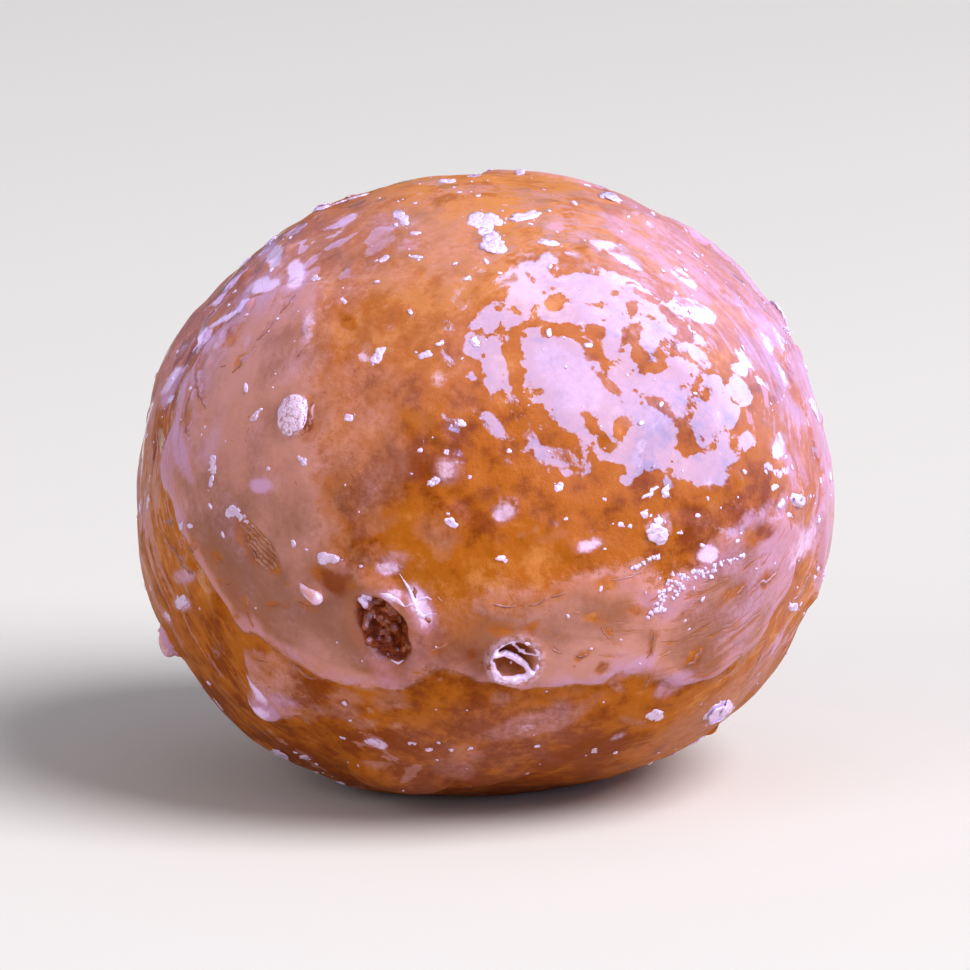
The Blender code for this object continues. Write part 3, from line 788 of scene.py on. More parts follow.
def crustColour(r, look, toneAndShade, patch, opening, grain, blur, threads):
    # mottled from dark to pale, with painted shade and light carried in the tone, and a pinkish speckle of
    # dried glaze
    shade = r.times(r.sum(toneAndShade, r.times(grain, 1.2), r.times(blur, 0.5), r.times(threads, 2.2)), 1.15)
    # darker in the openings: painted shade in the hollow mouths of burst bubbles and in the bare gaps
    shade = r.sum(shade, r.times(opening, -0.6))
    crust = r.blend(r.slope(shade, -1.0, -0.05), look["darkCrust"], look["midCrust"])
    crust = r.blend(r.slope(shade, -0.05, 0.85), crust, look["paleCrust"])
    specks = r.slope(r.sum(grain, r.times(patch, 0.4)), 0.0, 0.2, 0.0, 0.34)
    return r.blend(r.times(specks, r.slope(shade, -0.5, 0.4)), crust, look["speckle"])


def sugarAndGlintCover(r, frost, patch, bloomAndGlint, opening, grain):
    # how white it is with set sugar: blotches, rims and blooms, the blooms partly painted highlights
    spots = r.spots(2.3, 0.55, 0.22, place=r.stray(0.5, 0.22), soft=1.0)
    spots = r.times(spots, r.slope(grain, -0.16, 0.08))
    crusted = r.times(r.slope(frost, 0.2, 0.9, 0.0, 0.35), r.slope(grain, -0.12, 0.08))
    flecks = r.spots(1.1, 0.2, 0.30, place=r.stray(0.3, 0.12))
    white = r.most(crusted, r.most(r.times(spots, 0.6), r.times(flecks, r.slope(patch, -0.5, 0.3), 0.7)))
    white = r.most(white, r.slope(r.sum(bloomAndGlint, r.times(grain, 0.9)), 0.2, 0.8, 0.0, 0.9))
    return r.times(white, r.sum(1.0, r.times(opening, -0.9)))


def glazedCrustMaterial():
    r = Recipe("glazedCrust")
    look = glazedCrust
    toneAndShade, veilAndSheen, patch, depth, melt = map(r.field, ("toneAndShade", "veilAndSheen", "patch", "glazeDepth", "melt"))
    milkToneAndShade, lilacAndSheen, shine, torn, frost = map(r.field, ("milkToneAndShade", "lilacAndSheen", "gloss", "torn", "frost"))
    cream, bare, streaky, bloomAndGlint = map(r.field, ("cream", "bare", "streaky", "bloomAndGlint"))
    grain, blur = r.grain(0.42, 3.0, 0.7), r.grain(1.1, 2.0, 0.6)
    around = r.rings(*streaks["around"], streaks["fineWidth"], streaks["length"], r.stray(3.0, 0.5))
    threads = r.times(streaky, r.grain(1.0, 3.0, 0.62, place=around))
    opening = r.slope(bare, 0.3, 0.6)

    # thin veils, even or broken into patches, some of them painted highlights and reflections
    thin = r.times(veilAndSheen, r.sum(1.0, r.times(grain, 1.6)))
    broken = r.sum(patch, r.times(grain, 0.9), r.times(threads, 4.2))
    thin = r.most(thin, r.slope(broken, -0.02, 0.2, 0.0, 0.66))
    thin = r.times(thin, r.sum(1.0, r.times(opening, -0.85)))

    # thick milky glaze, with an edge that is crisp or melts away
    crisp = r.sum(depth, r.times(blur, 0.9), r.times(grain, 0.5))
    sharp = r.slope(crisp, -0.05, 0.30)
    soft = r.slope(r.sum(crisp, r.times(blur, 2.4), r.times(grain, 1.6)), -0.7, 2.4)
    film = r.mix(r.slope(melt, 0.1, 0.7), sharp, soft)
    missing = r.sum(bare, r.times(blur, 1.2), r.times(grain, 0.6))
    film = r.times(film, r.slope(missing, -0.2, 0.3, 1.0, 0.12))
    film = r.times(film, r.slope(r.sum(threads, r.times(grain, 0.15)), 0.03, 0.13, 1.0, 0.30))
    lines = r.clouds(1.0, 2.0, 0.5, place=r.stretched(r.stray(7.0, 2.6), (0.32, 2.6, 2.2)))
    scratch = r.times(r.slope(lines, 0.68, 0.71), r.slope(blur, 0.0, 0.08))
    body = r.slope(r.sum(crisp, r.times(milkToneAndShade, 1.2), r.times(grain, 0.8)), -0.8, 2.2, 0.58, 0.97)
    milky = r.most(thin, r.times(film, body, r.less(1.0, r.times(scratch, 0.75))))
    brim = r.times(r.slope(crisp, 0.1, 0.4), r.slope(crisp, 0.5, 1.5, 1.0, 0.0), r.less(1.0, melt))
    # browner milk where the zones paint shade beside the scar and the pit
    milkToneAndShade = r.sum(milkToneAndShade, r.times(grain, 0.7), r.times(threads, -2.0), r.times(brim, 1.3))
    milk = r.blend(r.slope(milkToneAndShade, -0.8, 0.6), look["milkShade"], look["milk"])
    # lilac: partly the glaze's own tint, partly painted reflection of cool light
    lilacAndSheen = r.sum(lilacAndSheen, r.times(grain, 0.5), r.times(brim, 0.45))
    milk = r.blend(r.slope(lilacAndSheen, 0.1, 0.9), milk, look["lilacMilkAndSheen"])

    surface = crustColour(r, look, toneAndShade, patch, opening, grain, blur, threads)
    surface = r.blend(milky, surface, milk)
    # set sugar, and the blooms that are partly painted highlights
    surface = r.blend(sugarAndGlintCover(r, frost, patch, bloomAndGlint, opening, grain), surface, look["sugarWhiteAndGlint"])
    surface = r.blend(r.slope(cream, 0.35, 0.8, 0.0, 0.85), surface, look["lilacMilkAndSheen"])

    # torn pits, down to dark crumb
    hole = r.slope(r.sum(torn, r.times(grain, 0.5)), 0.12, 0.34)
    crumb = r.blend(r.slope(grain, -0.1, 0.14), look["tornCrumb"], look["tornLight"])
    surface = r.blend(hole, surface, crumb)

    # the mirror-smooth coat, in shards outside the milky glaze and faint on it
    bubbles = r.spots(0.5, 0.17, 0.5, place=r.stray(0.4, 0.1))
    uneven = r.sum(r.times(grain, 0.4), r.times(r.grain(0.2, 2.0, 0.6), 0.2), r.times(bubbles, -0.3))
    shards = r.slope(r.sum(shine, uneven), -0.04, 0.03)
    coat = r.mix(film, shards, 0.09)
    coat = r.most(coat, r.slope(r.sum(bloomAndGlint, r.times(grain, 0.9)), 0.4, 0.9, 0.0, 0.6))
    coat = r.times(coat, r.less(1.0, hole))

    # relief finer than the mesh
    rough = r.sum(0.05, r.times(film, -0.035), r.times(shards, -0.035), r.times(hole, 0.30))
    return r.finish(
        relief=r.sum(r.times(grain, rough), r.times(film, 0.05)),
        Base_Color=surface,
        Roughness=r.mix(film, 0.42, 0.34),
        Coat_Weight=coat,
        Coat_Roughness=look["coatRoughness"],
        Coat_IOR=1.5,
        IOR=1.42,
        Specular_IOR_Level=0.06,
        Subsurface_Weight=0.15,
        Subsurface_Radius=(1.0, 0.45, 0.2),
        Subsurface_Scale=0.8 * mm,
    )


print("shaping the ball")
skin, ballMiddle = makeSkin()
skin.data.materials.append(glazedCrustMaterial())
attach(skin, "root")
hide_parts("doughnut_hole")
print("glazed ball:", len(skin.data.polygons), "faces")


# Small pieces that sit on the ball

corners = [vert.co / mm for vert in skin.data.vertices]
skinTree = BVHTree.FromPolygons(corners, [face.vertices for face in skin.data.polygons])


def baseAt(spot, axes, turn):
    # a base in millimetres: x and y along the skin and z outwards, turned about z
    upright = Matrix(axes).transposed().to_4x4()
    return Matrix.Translation(spot) @ upright @ Matrix.Rotation(math.radians(turn), 4, "Z")


def standOn(azimuth, elevation, turn=0):
    # a base on the ball's surface: x to the right and y up
    axes = [Vector(axis) for axis in axesAt(azimuth, elevation)]
    spot = skinTree.ray_cast(ballMiddle + axes[2] * ball["width"], -axes[2])[0]
    return baseAt(spot, axes, turn)


def overSkin(base, x, y, lift=0.0):
    # the point that many millimetres across and along from a base, and above the skin there
    outwards = base.to_3x3() @ Vector((0, 0, 1))
    spot, normal, _, _ = skinTree.ray_cast(base @ Vector((x, y, 4)), -outwards)
    return spot + normal * lift


def strand(base, stops, wobble=0.0, seed=0):
    # beads along a bent line: each stop gives x, y, radius and lift
    draw = random.Random(seed)
    beads = []
    for a, b in zip(stops, stops[1:]):
        length = math.hypot(b[0] - a[0], b[1] - a[1])
        spacing = 0.45 * min(a[2], b[2]) + 0.02  # close enough to melt into one
        count = max(2, round(length / spacing))
        for step in range(count + 1):
            x, y, radius, lift = (p + (q - p) * step / count for p, q in zip(a, b))
            radius *= 1 + wobble * draw.uniform(-1, 1)
            beads.append((overSkin(base, x, y, lift), radius))
    return beads


roundShapes = {}


def roundShape(detail):
    # the corners and faces of a unit ball, made once for each level of detail
    if detail not in roundShapes:
        shape = bmesh.new()
        bmesh.ops.create_icosphere(shape, subdivisions=detail, radius=1.0)
        places = [vert.co.copy() for vert in shape.verts]
        roundShapes[detail] = places, [[vert.index for vert in face.verts] for face in shape.faces]
        shape.free()
    return roundShapes[detail]


class Heap:
    # corners and faces of many small shapes, before they become one mesh
    def __init__(self):
        self.places, self.faces = [], []

    def add(self, places, faces):
        start = len(self.places)
        self.places += places
        self.faces += [[start + corner for corner in face] for face in faces]

    def mesh(self, name):
        mesh = bpy.data.meshes.new(name)
        mesh.from_pydata(self.places, [], self.faces)
        mesh.update()
        return mesh

    def settle(self, name, material):
        settle(link(name, self.mesh(name)), material)


def settle(obj, material):
    # trims the finished shape, gives it its material and sets it on the ball
    obj.data.transform(Matrix.Scale(mm, 4))
    keepInside(obj.data)
    obj.data.shade_smooth()
    obj.data.materials.clear()
    obj.data.materials.append(material)
    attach(obj, "root")
    print(obj.name + ":", len(obj.data.polygons), "faces")


def gooFrom(name, beads, material, voxel, smoothing):
    # melts beads of sugar together into smooth closed shapes
    heap = Heap()
    places, faces = roundShape(2)
    for spot, radius in beads:
        heap.add([spot + place * radius for place in places], faces)
    mesh = heap.mesh(name)
    obj = link(name, mesh)
    remesh = obj.modifiers.new("Melt", "REMESH")
    remesh.mode = "VOXEL"
    remesh.voxel_size = voxel
    smooth = obj.modifiers.new("Smooth", "SMOOTH")
    smooth.factor = 0.5
    smooth.iterations = smoothing
    melted = bpy.data.meshes.new_from_object(obj.evaluated_get(bpy.context.evaluated_depsgraph_get()))
    obj.modifiers.clear()
    obj.data = melted
    bpy.data.meshes.remove(mesh)
    melted.name = name
    settle(obj, material)


milkyDrop = {
    "milk": colour(222, 178, 214),
    "clearer": colour(212, 156, 164),
    "white": colour(236, 206, 244),
}


def milkyDropMaterial():
    r = Recipe("milkyDrop")
    cloud = r.grain(0.9, 3.0, 0.6)
    surface = r.blend(r.slope(cloud, -0.12, 0.05), milkyDrop["clearer"], milkyDrop["milk"])
    return r.finish(
        relief=r.times(cloud, 0.06),
        Base_Color=r.blend(r.slope(cloud, 0.06, 0.2), surface, milkyDrop["white"]),
        Roughness=r.slope(cloud, -0.2, 0.2, 0.22, 0.4),
        Coat_Weight=0.8,
        Coat_Roughness=0.08,
        Subsurface_Weight=0.3,
        Subsurface_Radius=(1.0, 0.6, 0.5),
        Subsurface_Scale=0.6 * mm,
    )


# Drops and runs of glaze: azimuth, elevation, turn, and stops of x, y, radius, lift
drops = [
    (-81, -25, -14, [(0.0, 0.8, 0.18, -0.12), (0.0, 0.2, 0.33, 0.02), (0.0, -0.5, 0.42, 0.12)]),
    (-29.3, -7.4, 62, [(0.0, 0.9, 0.12, 0.02), (0.0, 0.35, 0.26, 0.07), (0.02, -0.3, 0.40, 0.15)]),
    (112, -40, -10, [(0.0, 1.0, 0.22, -0.05), (0.0, 0.2, 0.42, 0.06), (0.0, -0.6, 0.52, 0.14)]),
    (-138, -38, -14, [(0.0, 0.9, 0.20, -0.05), (0.0, 0.2, 0.36, 0.06), (0.0, -0.5, 0.46, 0.14)]),
]


def makeDrops(material):
    beads = []
    for *place, stops in drops:
        sunk = [(x, y, size, lift - size / 2) for x, y, size, lift in stops]
        beads += strand(standOn(*place), sunk)
    gooFrom("glazeDrops", beads, material, voxel=0.08, smoothing=6)


setSugar = {
    "white": colour(240, 206, 248),
    "shade": colour(224, 172, 212),
    "warm": colour(214, 150, 140),
}


def setSugarMaterial():
    r = Recipe("setSugar")
    grain = r.grain(0.22, 3.0, 0.7)
    surface = r.blend(r.slope(grain, -0.2, 0.0), setSugar["shade"], setSugar["white"])
    warmth = r.slope(r.grain(0.5, 2.0, 0.5), 0.08, 0.2, 0.0, 0.6)
    return r.finish(
        relief=r.times(grain, 0.10),
        Base_Color=r.blend(warmth, surface, setSugar["warm"]),
        Roughness=r.slope(grain, -0.2, 0.2, 0.3, 0.5),
        Coat_Weight=0.7,
        Coat_Roughness=0.1,
        Subsurface_Weight=0.2,
        Subsurface_Radius=(1.0, 0.8, 0.9),
        Subsurface_Scale=0.4 * mm,
    )


# Rims of burst bubbles, and the torn skin across their mouths
bubbleRim = {
    "widthShown": 3.0,  # the bubble that these measures are for
    "radius": 1.22,
    "thickness": (0.04, 0.12),
    "stops": 40,
    "seed": 31,
    # across, along, radius, lift
    "torn": [
        [(-1.1, 0.5, 0.15, 0.15), (-0.6, 0.45, 0.19, 0.32), (0.0, 0.15, 0.20, 0.38),
         (0.5, -0.3, 0.16, 0.34), (0.9, -0.75, 0.13, 0.15)],
        [(-0.1, 1.1, 0.08, 0.12), (0.3, 0.65, 0.07, 0.36), (0.7, 0.5, 0.07, 0.34), (1.1, 0.4, 0.06, 0.12)],
        [(-0.6, -1.0, 0.13, 0.1), (-0.1, -1.1, 0.20, 0.08), (0.45, -0.98, 0.17, 0.08),
         (0.8, -0.78, 0.12, 0.1)],
        [(-1.15, -0.1, 0.11, 0.08), (-1.08, -0.5, 0.15, 0.08), (-0.8, -0.85, 0.12, 0.1)],
    ],
}


def makeBubbleRims(material):
    draw = random.Random(bubbleRim["seed"])
    beads = []
    for step, (*place, width, _) in enumerate(bursts):
        size = width / bubbleRim["widthShown"]
        base = standOn(*place, step * 130)
        ring = []
        for turn in range(bubbleRim["stops"]):
            angle = math.tau * turn / bubbleRim["stops"]
            out = bubbleRim["radius"] * (1 + 0.05 * math.sin(2 * angle + step) + 0.02 * draw.uniform(-1, 1))
            thickness = draw.uniform(*bubbleRim["thickness"])
            ring.append((out * math.cos(angle), out * math.sin(angle), thickness, 0.0))
        for stops in [ring + ring[:1]] + bubbleRim["torn"]:
            scaled = [[part * size for part in (x, y, radius, lift - 0.04)] for x, y, radius, lift in stops]
            beads += strand(base, scaled, wobble=0.1, seed=step)
    gooFrom("bubbleRims", beads, material, voxel=0.05, smoothing=2)


# Web of set glaze pulled over the edge of the large pit
pitWeb = {
    # stops of x, y, radius and lift, from the pit's middle
    "fan": [
        [(1.00, 3.07, 0.04, 0.02), (1.42, 2.37, 0.08, 0.01), (1.75, 1.66, 0.12, -0.02),
         (2.05, 0.95, 0.18, -0.10)],
        [(1.85, 1.75, 0.07, 0.0), (2.35, 1.86, 0.06, 0.0), (2.75, 1.62, 0.04, -0.02)],
        [(2.15, 0.85, 0.09, -0.02), (2.5, 1.0, 0.06, -0.01), (2.95, 0.95, 0.04, -0.02)],
    ],
    "rim": [
        [(1.6, 1.6, 0.06, 0.02), (1.3, 1.5, 0.05, 0.03), (0.95, 1.75, 0.12, 0.0), (0.5, 2.0, 0.15, -0.02),
         (0.15, 2.1, 0.08, 0.0)],
        [(-1.15, 1.55, 0.16, -0.02), (-0.95, 1.3, 0.22, 0.0), (-1.0, 1.0, 0.12, -0.02)],
        [(0.25, -1.75, 0.06, -0.02), (0.6, -1.9, 0.08, -0.02), (0.85, -1.75, 0.05, -0.02)],
    ],
    "others": [(-164, 30), (148, -8)],  # pits elsewhere on the ball, which have the rim's strands alone
}


def makePitWebs(material):
    beads = []
    for step, place in enumerate([pits[0][:2], *pitWeb["others"]]):
        for stops in pitWeb["rim"] if step else pitWeb["fan"] + pitWeb["rim"]:
            beads += strand(standOn(*place, step * 70), stops, wobble=0.2, seed=step)
    gooFrom("pitWebs", beads, material, voxel=0.06, smoothing=2)


def lump(heap, base, length, width, thickness, seed, rough, detail=2, taper=0.7):
    # one rough pebble, flattened along the base's z; a lower taper has blunter ends
    places, faces = roundShape(detail)
    lumpy = []
    for place in places:
        swell = 1 + rough * noise.noise(place * 1.3 + Vector((seed, 0, 0)))
        swell += 0.5 * rough * noise.noise(place * 3.1 + Vector((0, seed, 0)))
        blunt = math.copysign(abs(place.x) ** taper, place.x)
        spot = Vector((blunt * length / 2, place.y * width / 2, place.z * thickness / 2)) * swell
        lumpy.append(base @ spot)
    heap.add(lumpy, faces)


def onSkin(base, x, y, lift, turn, reach=0.25):
    # a base that lies on the skin as a piece of that reach would
    sides = ((reach, 0), (-reach, 0), (0, reach), (0, -reach))
    east, west, north, south = (overSkin(base, x + right, y + up) for right, up in sides)
    normal = (east - west).cross(north - south).normalized()
    side = (base.to_3x3() @ Vector((1, 0, 0))).cross(normal).normalized()
    return baseAt(overSkin(base, x, y) + normal * lift, (side.cross(normal), side, normal), turn)


pitCrumb = {
    "dark": colour(108, 40, 17),
    "light": colour(166, 82, 42),
    "bareFrom": 0.5,  # pits torn as far as that have crumb
    "count": 44,  # in the pit of the photo
    "size": (0.12, 0.30),
    "seed": 44,
}


def makePitCrumb(material):
    draw = random.Random(pitCrumb["seed"])
    beads = []
    for *place, width, tall, turn, _, bare in pits:
        if bare < pitCrumb["bareFrom"]:
            continue
        base = standOn(*place, turn)
        for _ in range(round(pitCrumb["count"] * bare**2)):
            angle, out = draw.uniform(0, math.tau), 0.43 * math.sqrt(draw.random())
            size = draw.uniform(*pitCrumb["size"])
            x, y = width * out * math.cos(angle), tall * out * math.sin(angle)
            beads.append((overSkin(base, x, y, -size * 0.2), size))
    gooFrom("pitCrumb", beads, material, voxel=0.06, smoothing=2)


# Flakes and specks of set sugar
flakes = {
    # azimuth, elevation, length, width, turn, thickness
    "large": [
        (-41.2, 65.6, 2, 0.5, -34, 0.2), (-6.4, 67.9, 1.9, 0.92, -84, 0.25),
        (-0.6, 64.2, 1.6, 0.66, -90, 0.2), (-32.3, 53.1, 0.62, 0.4, 56, 0.12),
        (-22.8, 54.8, 0.77, 0.26, 7, 0.1), (-49.9, 46.7, 0.67, 0.4, -3, 0.12),
        (-35.8, 42.7, 0.57, 0.2, -20, 0.1), (-22.6, 32.7, 0.95, 0.52, 89, 0.25),
        (-13.1, 33.6, 0.71, 0.36, 16, 0.2), (-3.1, 36.6, 0.62, 0.52, -51, 0.25),
        (-5, 21.9, 0.51, 0.4, -9, 0.2), (-25.3, 21.6, 0.5, 0.42, -5, 0.15),
        (-45, 19.6, 0.75, 0.36, 54, 0.2), (-51.9, 10.5, 1.1, 0.42, -79, 0.2),
        (-51.7, 7.8, 0.71, 0.31, 86, 0.15), (-32.6, 13.8, 0.62, 0.25, -34, 0.2),
        (-9, 12.3, 0.65, 0.33, 29, 0.25), (-7.4, 17, 0.31, 0.29, -16, 0.12),
        (-11.8, 17.1, 0.26, 0.24, -6, 0.1), (-5.9, 50, 0.5, 0.28, 32, 0.1),
        (-9.8, 36, 0.28, 0.24, -78, 0.1), (-98.8, 58.5, 1.1, 0.7, 49, 0.2),
        (-98, 62.1, 0.65, 0.16, -90, 0.25), (-99.6, 65.1, 1.2, 0.49, -81, 0.25),
        (-72, 82.4, 0.97, 0.69, 20, 0.25), (-116.4, 86.8, 0.68, 0.54, 21, 0.3),
        (-103.2, 46.2, 2.2, 0.77, 18, 0.2), (-114.6, 40, 0.7, 0.61, -77, 0.25),
        (-100.8, 41.5, 0.67, 0.39, 82, 0.3), (-99.9, 40.6, 0.67, 0.16, 63, 0.25),
        (-75.2, 17.4, 0.8, 0.45, 19, 0.15), (-39.1, 11.7, 0.27, 0.19, 4, 0.1),
        (0.4, 68.1, 1.7, 1.2, 68, 0.25), (18.1, 68.8, 2, 0.7, 20, 0.2), (1.1, 59.9, 2.1, 1.2, 89, 0.25),
        (20.6, 58.7, 1, 0.51, -19, 0.12), (151.1, 78, 0.9, 0.5, -60, 0.15),
        (106.3, 71.1, 0.56, 0.16, -70, 0.3), (90.2, 67.2, 2.2, 0.86, -7, 0.35),
        (101.9, 24.5, 2.2, 0.16, -11, 0.3), (101.7, 25.6, 2.2, 0.27, -18, 0.25),
        (82.1, 14.6, 2.2, 1, -5, 0.3), (11.9, 11.3, 0.32, 0.29, 4, 0.12), (3.4, 17.3, 0.27, 0.24, 4, 0.1),
        (-46.1, 4, 0.98, 0.51, 27, 0.2), (-44.7, 3.2, 0.52, 0.18, -27, 0.15),
        (-26.7, -1.4, 1.2, 0.55, 2, 0.22), (-9, 12.2, 0.61, 0.31, 21, 0.22),
        (-6.2, 5.7, 0.66, 0.47, -41, 0.3), (-20.7, -7.6, 0.78, 0.54, -79, 0.2),
        (-20.3, -11.5, 0.31, 0.19, -36, 0.15), (-65.1, -15.1, 1.7, 0.55, 18, 0.22),
        (-73.3, -19, 0.74, 0.5, -17, 0.2), (-32.6, 13.8, 0.54, 0.27, -32, 0.15),
        (-58.7, -0.6, 0.75, 0.25, 46, 0.12), (-25.8, -38.9, 0.77, 0.73, 41, 0.15),
        (-16.8, -37.9, 0.42, 0.19, 18, 0.1), (-53.7, -57.1, 0.64, 0.36, 2, 0.2),
        (-59.1, -53.7, 0.48, 0.19, -18, 0.15), (-63.4, -47.6, 2.2, 0.77, 9, 0.15),
        (-53, -47.2, 0.97, 0.42, 18, 0.2), (-73, -36.6, 0.95, 0.17, -76, 0.12),
        (11.8, 11, 0.47, 0.41, 19, 0.2), (19.4, 8.7, 0.22, 0.19, -5, 0.1),
        (12.7, 5.9, 0.22, 0.17, -4, 0.1), (22, 4.4, 0.36, 0.31, -12, 0.12),
        (23.6, 4, 0.28, 0.22, -9, 0.12), (26.2, 5.8, 0.51, 0.39, 2, 0.2), (28.4, 2.2, 1.4, 1, -11, 0.22),
        (28.7, 4.5, 0.5, 0.43, 16, 0.15), (32.6, 2, 0.34, 0.17, -14, 0.1),
        (26.8, 8.7, 0.78, 0.19, 11, 0.15), (30.2, 8.8, 0.61, 0.45, -67, 0.2),
        (28, 9.6, 0.53, 0.17, 20, 0.12), (61.1, 3, 2, 0.58, -16, 0.3), (54.8, 3.6, 0.79, 0.41, 20, 0.2),
        (53.2, 6.6, 0.59, 0.28, -9, 0.15), (57.5, 1.3, 0.85, 0.23, -11, 0.12),
        (67.6, -16.8, 1.6, 0.48, -18, 0.25), (81.4, -13.6, 0.91, 0.72, -13, 0.3),
        (34.6, -32.3, 1.1, 0.87, -34, 0.22), (55.1, -36.3, 2.2, 1.2, -36, 0.25),
        (57.4, -35.7, 2.2, 0.7, -37, 0.2), (72.5, -49.2, 0.94, 0.19, 41, 0.25),
        (24.6, -41.7, 0.54, 0.35, -68, 0.12), (124, 30, 1.4, 0.7, 20, 0.25),
        (140, 8, 1.1, 0.8, -20, 0.22), (163, 24, 0.9, 0.5, 0, 0.2), (-146, 12, 1.2, 0.7, 30, 0.22),
        (-128, -8, 0.8, 0.6, 0, 0.2), (-168, 50, 1.3, 0.8, -30, 0.25), (176, 10, 0.9, 0.7, 60, 0.2),
        (-115, 48, 1, 0.5, 10, 0.2),
    ],
    # chains of crystals: from azimuth, elevation to azimuth, elevation, how many and how far they stray
    "chains": [
        (27.5, -11.2, 30, -8, 22, 0.22), (30, -8, 33, -5.5, 26, 0.24), (33.5, -5.2, 39.5, -5.2, 30, 0.16),
        (24, -2.8, 29, -1.4, 14, 0.08), (40.5, -4, 45, -3.2, 10, 0.1), (-45, 4, -42.5, 2, 12, 0.12),
        (124, -4, 134, 2, 30, 0.25), (-128, 26, -120, 34, 26, 0.25), (170, 30, 178, 38, 26, 0.25),
    ],
    "crystal": (0.08, 0.24),
    # where the finest specks lie: azimuth, elevation, spread, share
    "specks": [
        (60, 30, 40, 0.6), (45, 0, 26, 0.5), (-70, 30, 26, 0.4), (10, 70, 34, 0.5), (-10, -36, 24, 0.35),
        (150, 20, 60, 0.5), (-140, 20, 50, 0.45),
    ],
    # smaller lumps that have run into a large one, and crumbs broken off its edge
    "lumpReach": 0.42,
    "lumpShare": (0.3, 0.55),
    "lumpThickness": (0.3, 0.6),
    "lumpTurn": (-20, 20),
    "crumbReach": (0.5, 0.75),
    "crumbSize": (0.06, 0.18),
    "speckCount": 520,
    "speckSize": (0.09, 0.34),
    "seed": 8,
}


def addFlake(heap, draw, base, length, width, thickness):
    # a lump, smaller flat ones that have run into it, and crumbs broken off its edge
    seed = draw.uniform(0, 99)
    middle = onSkin(base, 0, 0, 0.0, 0, reach=length * 0.4)
    lump(heap, middle, length * 0.85, width * 0.85, thickness * 0.5, seed, rough=0.35, detail=3)
    for step in range(3 + round(2 * length)):
        angle, out = draw.uniform(0, math.tau), flakes["lumpReach"] * math.sqrt(draw.random())
        share = draw.uniform(*flakes["lumpShare"])
        x, y = length * out * math.cos(angle), width * out * math.sin(angle)
        place = onSkin(base, x, y, 0.0, draw.uniform(*flakes["lumpTurn"]))
        thick = thickness * draw.uniform(*flakes["lumpThickness"])
        lump(heap, place, length * share, width * share * 1.5, thick, seed + step, rough=0.4)
    for _ in range(round(length * 1.5)):
        angle = draw.uniform(0, math.tau)
        out, size = draw.uniform(*flakes["crumbReach"]), draw.uniform(*flakes["crumbSize"])
        x, y = length * out * math.cos(angle), width * out * math.sin(angle)
        place = onSkin(base, x, y, 0.0, draw.uniform(0, 360))
        lump(heap, place, size * 1.5, size, size * 0.5, draw.uniform(0, 99), rough=0.6, detail=1)


def addChain(heap, draw, start, end, count, stray):
    for step in range(count):
        share = (step + draw.uniform(-0.4, 0.4)) / count
        base = standOn(*(a + (b - a) * share for a, b in zip(start, end)))
        size = draw.uniform(*flakes["crystal"])
        x, y = stray * draw.gauss(0, 1), stray * draw.gauss(0, 1)
        place = onSkin(base, x, y, 0.0, draw.uniform(0, 360))
        lump(heap, place, size * 1.3, size, size * 0.8, draw.uniform(0, 99), rough=0.8)


def addSpecks(heap, draw):
    placed = 0
    small, big = flakes["speckSize"]
    while placed < flakes["speckCount"]:
        azimuth = draw.uniform(-180, 180)
        elevation = math.degrees(math.asin(draw.uniform(-0.86, 1)))
        share = 0.25 + zones(np.array([towards(azimuth, elevation)]), flakes["specks"])[0]
        if draw.random() > share:
            continue
        placed += 1
        size = small + (big - small) * draw.random() ** 3
        place = onSkin(standOn(azimuth, elevation), 0, 0, size * 0.1, draw.uniform(0, 360))
        lump(heap, place, size * draw.uniform(1.0, 1.8), size, size * 0.45, draw.uniform(0, 99), rough=0.5)


def makeFlakes(material):
    draw = random.Random(flakes["seed"])
    heap = Heap()
    for *place, length, width, turn, thickness in flakes["large"]:
        addFlake(heap, draw, standOn(*place, turn), length, width, thickness)
    for *ends, count, stray in flakes["chains"]:
        addChain(heap, draw, ends[:2], ends[2:], count, stray)
    addSpecks(heap, draw)
    heap.settle("sugarFlakes", material)


crispBlister = {
    "pale": colour(236, 204, 238),
    "brown": colour(192, 136, 148),
    "whiteFrom": 0.9,  # blisters of that whiteness have a crisp cap
    "width": 0.88,  # these three as shares of the blister
    "height": 0.95,
    "rise": 1.2,
    "lift": 0.04,
}


def makeCrispBlisters(material):
    heap = Heap()
    for azimuth, elevation, width, tall, turn, rise, whiteness in blisters:
        if whiteness < crispBlister["whiteFrom"]:
            continue
        base = standOn(azimuth, elevation, turn) @ Matrix.Translation((0, 0, -rise * 0.5))
        across, along = width * crispBlister["width"], tall * crispBlister["height"]
        thick = rise * crispBlister["rise"] + 2 * crispBlister["lift"]
        lump(heap, base, across, along, thick, azimuth, rough=0.16, detail=4, taper=1.0)
    heap.settle("crispBlisters", material)


strip = {"step": 0.16, "edge": -0.012, "root": -0.08, "end": -0.03, "stray": 0.2, "fullness": (0.6, 1.1)}


def drape(heap, base, length, width, rise, seed, bend):
    # a thin tapered strip that follows the skin, along the base's x
    draw = random.Random(seed)
    steps = max(4, round(length / strip["step"]))
    places = []
    for step in range(1, steps):
        share = 2 * step / steps - 1
        middle = bend * (share * share - 0.5) + strip["stray"] * width * draw.uniform(-1, 1)
        half = width / 2 * math.sqrt(1 - share * share) * draw.uniform(*strip["fullness"])
        section = [(middle - half, strip["edge"]), (middle, rise)]
        section += [(middle + half, strip["edge"]), (middle, strip["root"])]
        places += [overSkin(base, share * length / 2, y, lift) for y, lift in section]
    first, last = len(places), len(places) + 1
    places += [overSkin(base, end * length / 2, bend / 2, strip["end"]) for end in (-1, 1)]
    faces = []
    for side in range(4):
        other = (side + 1) % 4
        faces += [(a + side, a + 4 + side, a + 4 + other, a + other) for a in range(0, first - 4, 4)]
        faces += [(side, other, first), (first - 4 + other, first - 4 + side, last)]
    heap.add(places, faces)


